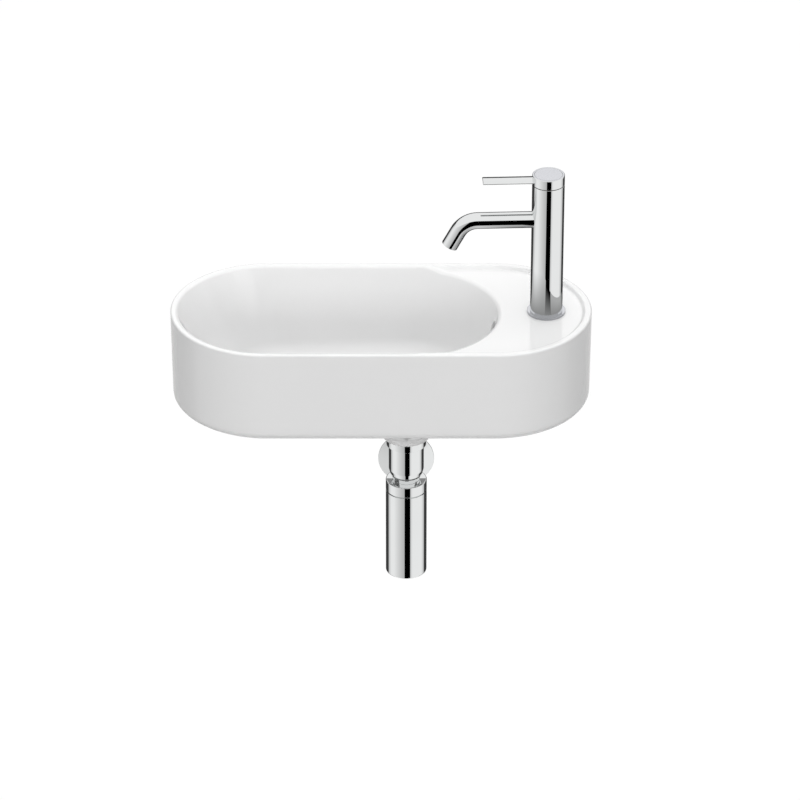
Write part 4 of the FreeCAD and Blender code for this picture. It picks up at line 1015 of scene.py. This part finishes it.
def make_card(name, corners, faces, metal, glaze=None):
    """A card that only reflections show, with one level in bright metal and another, or none, in glaze."""
    material, nodes, links = node_tree(name)
    nodes.remove(nodes["Principled BSDF"])
    shade = nodes.new("ShaderNodeVertexColor")
    shade.layer_name = "levels"
    split = nodes.new("ShaderNodeSeparateColor")
    links.new(shade.outputs["Color"], split.inputs["Color"])
    in_metal = nodes.new("ShaderNodeEmission")
    links.new(split.outputs["Red"], in_metal.inputs["Strength"])
    if glaze:
        in_glaze = nodes.new("ShaderNodeEmission")
        links.new(split.outputs["Green"], in_glaze.inputs["Strength"])
    else:
        in_glaze = nodes.new("ShaderNodeBsdfTransparent")
    either = nodes.new("ShaderNodeMixShader")
    links.new(any_ray(nodes, links, ["Is Singular Ray"]), either.inputs["Fac"])
    links.new(in_glaze.outputs[0], either.inputs[1])
    links.new(in_metal.outputs[0], either.inputs[2])
    links.new(either.outputs["Shader"], nodes["Material Output"].inputs["Surface"])
    card = sheet(name, corners, faces, material)
    colours = card.data.color_attributes.new("levels", "FLOAT_COLOR", "POINT")
    for spot, metal_level, glaze_level in zip(colours.data, metal, glaze or metal):
        spot.color = (metal_level, glaze_level, 0, 1)
    for sort in ("camera", "diffuse", "transmission", "shadow", "volume_scatter"):
        setattr(card, f"visible_{sort}", False)


def level_at(stops, place):
    """Level between the stops (place, level) on each side of a place."""
    for (start, level), (end, next_level) in zip(stops, stops[1:]):
        if place <= end:
            return level + (next_level - level) * (place - start) / (end - start)
    return stops[-1][1]


def bearings_of(stops):
    """All bearings of some stops, with more between them where they are far apart."""
    places = sorted({bearing for bearing, level in stops})
    bearings = []
    for start, end in zip(places, places[1:]):
        count = math.ceil((end - start) / CARD_STEP)
        bearings.extend(start + (end - start) * step / count for step in range(count))
    return bearings + [places[-1]]


def make_band(name, low, high, metal, glaze):
    """A bent card round the object between two elevations, with its levels at each bearing."""
    bearings = bearings_of(metal + glaze)
    corners = []
    for bearing in bearings:
        angle = math.radians(bearing)
        for rise in (low, high):
            corners.append((CARD_DISTANCE * math.sin(angle), -CARD_DISTANCE * math.cos(angle),
                            CARD_DISTANCE * math.tan(math.radians(rise))))
    faces = [(2 * step, 2 * step + 2, 2 * step + 3, 2 * step + 1) for step in range(len(bearings) - 1)]
    metal_levels, glaze_levels = ([level_at(stops, bearing) for bearing in bearings for end in range(2)]
                                  for stops in (metal, glaze))
    make_card(name, corners, faces, metal_levels, glaze_levels)


# Painted shade: the top of the trap's head nut mirrors this grey card.
def make_trap_shade_card():
    corners = [(TRAP_CARD_LEFT, TRAP_CARD_FOOT), (TRAP_CARD_RIGHT, TRAP_CARD_FOOT),
               (TRAP_CARD_RIGHT, TRAP_CARD_TOP), (TRAP_CARD_LEFT, TRAP_CARD_TOP)]
    make_card("trap_shade_card", [(across, TRAP_CARD_Y, up) for across, up in corners],
              [range(len(corners))], [TRAP_CARD_SHADE] * len(corners))


def make_painted_deck_reflection():
    """A card from the foot of the tap up to the rim, in three rings, that only metal shows: a painted
    reflection of the deck, darker round the tap's foot as painted shade.
    """
    height = node_box("tap_base_ring")[0].z + DECK_CARD_LIFT
    foot = node_radius("tap_base_ring")
    start = (TAP.translation - BASIN_AT).to_2d()
    corners = []
    levels = []
    bearings = bearings_of(DECK_FOOT_SHADE + DECK_EDGE)
    for bearing in bearings:
        angle = math.radians(bearing)
        way = Vector((math.sin(angle), -math.cos(angle)))
        room = (rim_exit(start, way)[0] - start).length
        step_reach = min(room - DECK_RIM_WIDTH - DECK_CARD_GAP, DECK_REACH)
        for reach, rise, stops in ((foot, 0, DECK_FOOT_SHADE), (step_reach, DECK_DROP, DECK_EDGE),
                                   (room, DECK_DROP, DECK_EDGE)):
            place = TAP.translation.to_2d() + way * reach
            corners.append(lifted(place, height + rise) * MM)
            levels.append(level_at(stops, bearing))
    faces = []
    for step in range(len(bearings) - 1):
        for first in (3 * step, 3 * step + 1):
            faces.append((first, first + 1, first + 4, first + 3))
    make_card("painted_deck_reflection", corners, faces, levels)


def make_lamp():
    """A soft lamp before the basin, which reflections don't show."""
    data = bpy.data.lights.new("front_lamp", "AREA")
    data.shape = "RECTANGLE"
    data.size, data.size_y = LAMP_SIZE
    data.energy = LAMP_POWER
    item = bpy.data.objects.new("front_lamp", data)
    item.location = LAMP_AT
    item.rotation_euler = (Vector(LAMP_AIM) - Vector(LAMP_AT)).to_track_quat("-Z", "Y").to_euler()
    item.visible_glossy = False
    bpy.context.scene.collection.objects.link(item)


make_camera()
make_world()
make_floor()
for band in BANDS:
    make_band(*band)
make_trap_shade_card()
make_painted_deck_reflection()
make_lamp()


# CAD nodes that still show take their slot's finish

slot_of = {part["node"]: part["material_slot"] for part in frame["record"]["subparts"]}
for name, item in frame["nodes"].items():
    item.data.materials.clear()
    item.data.materials.append(LOOKS[slot_of[name]])

view = bpy.context.scene.view_settings
view.view_transform = "Standard"
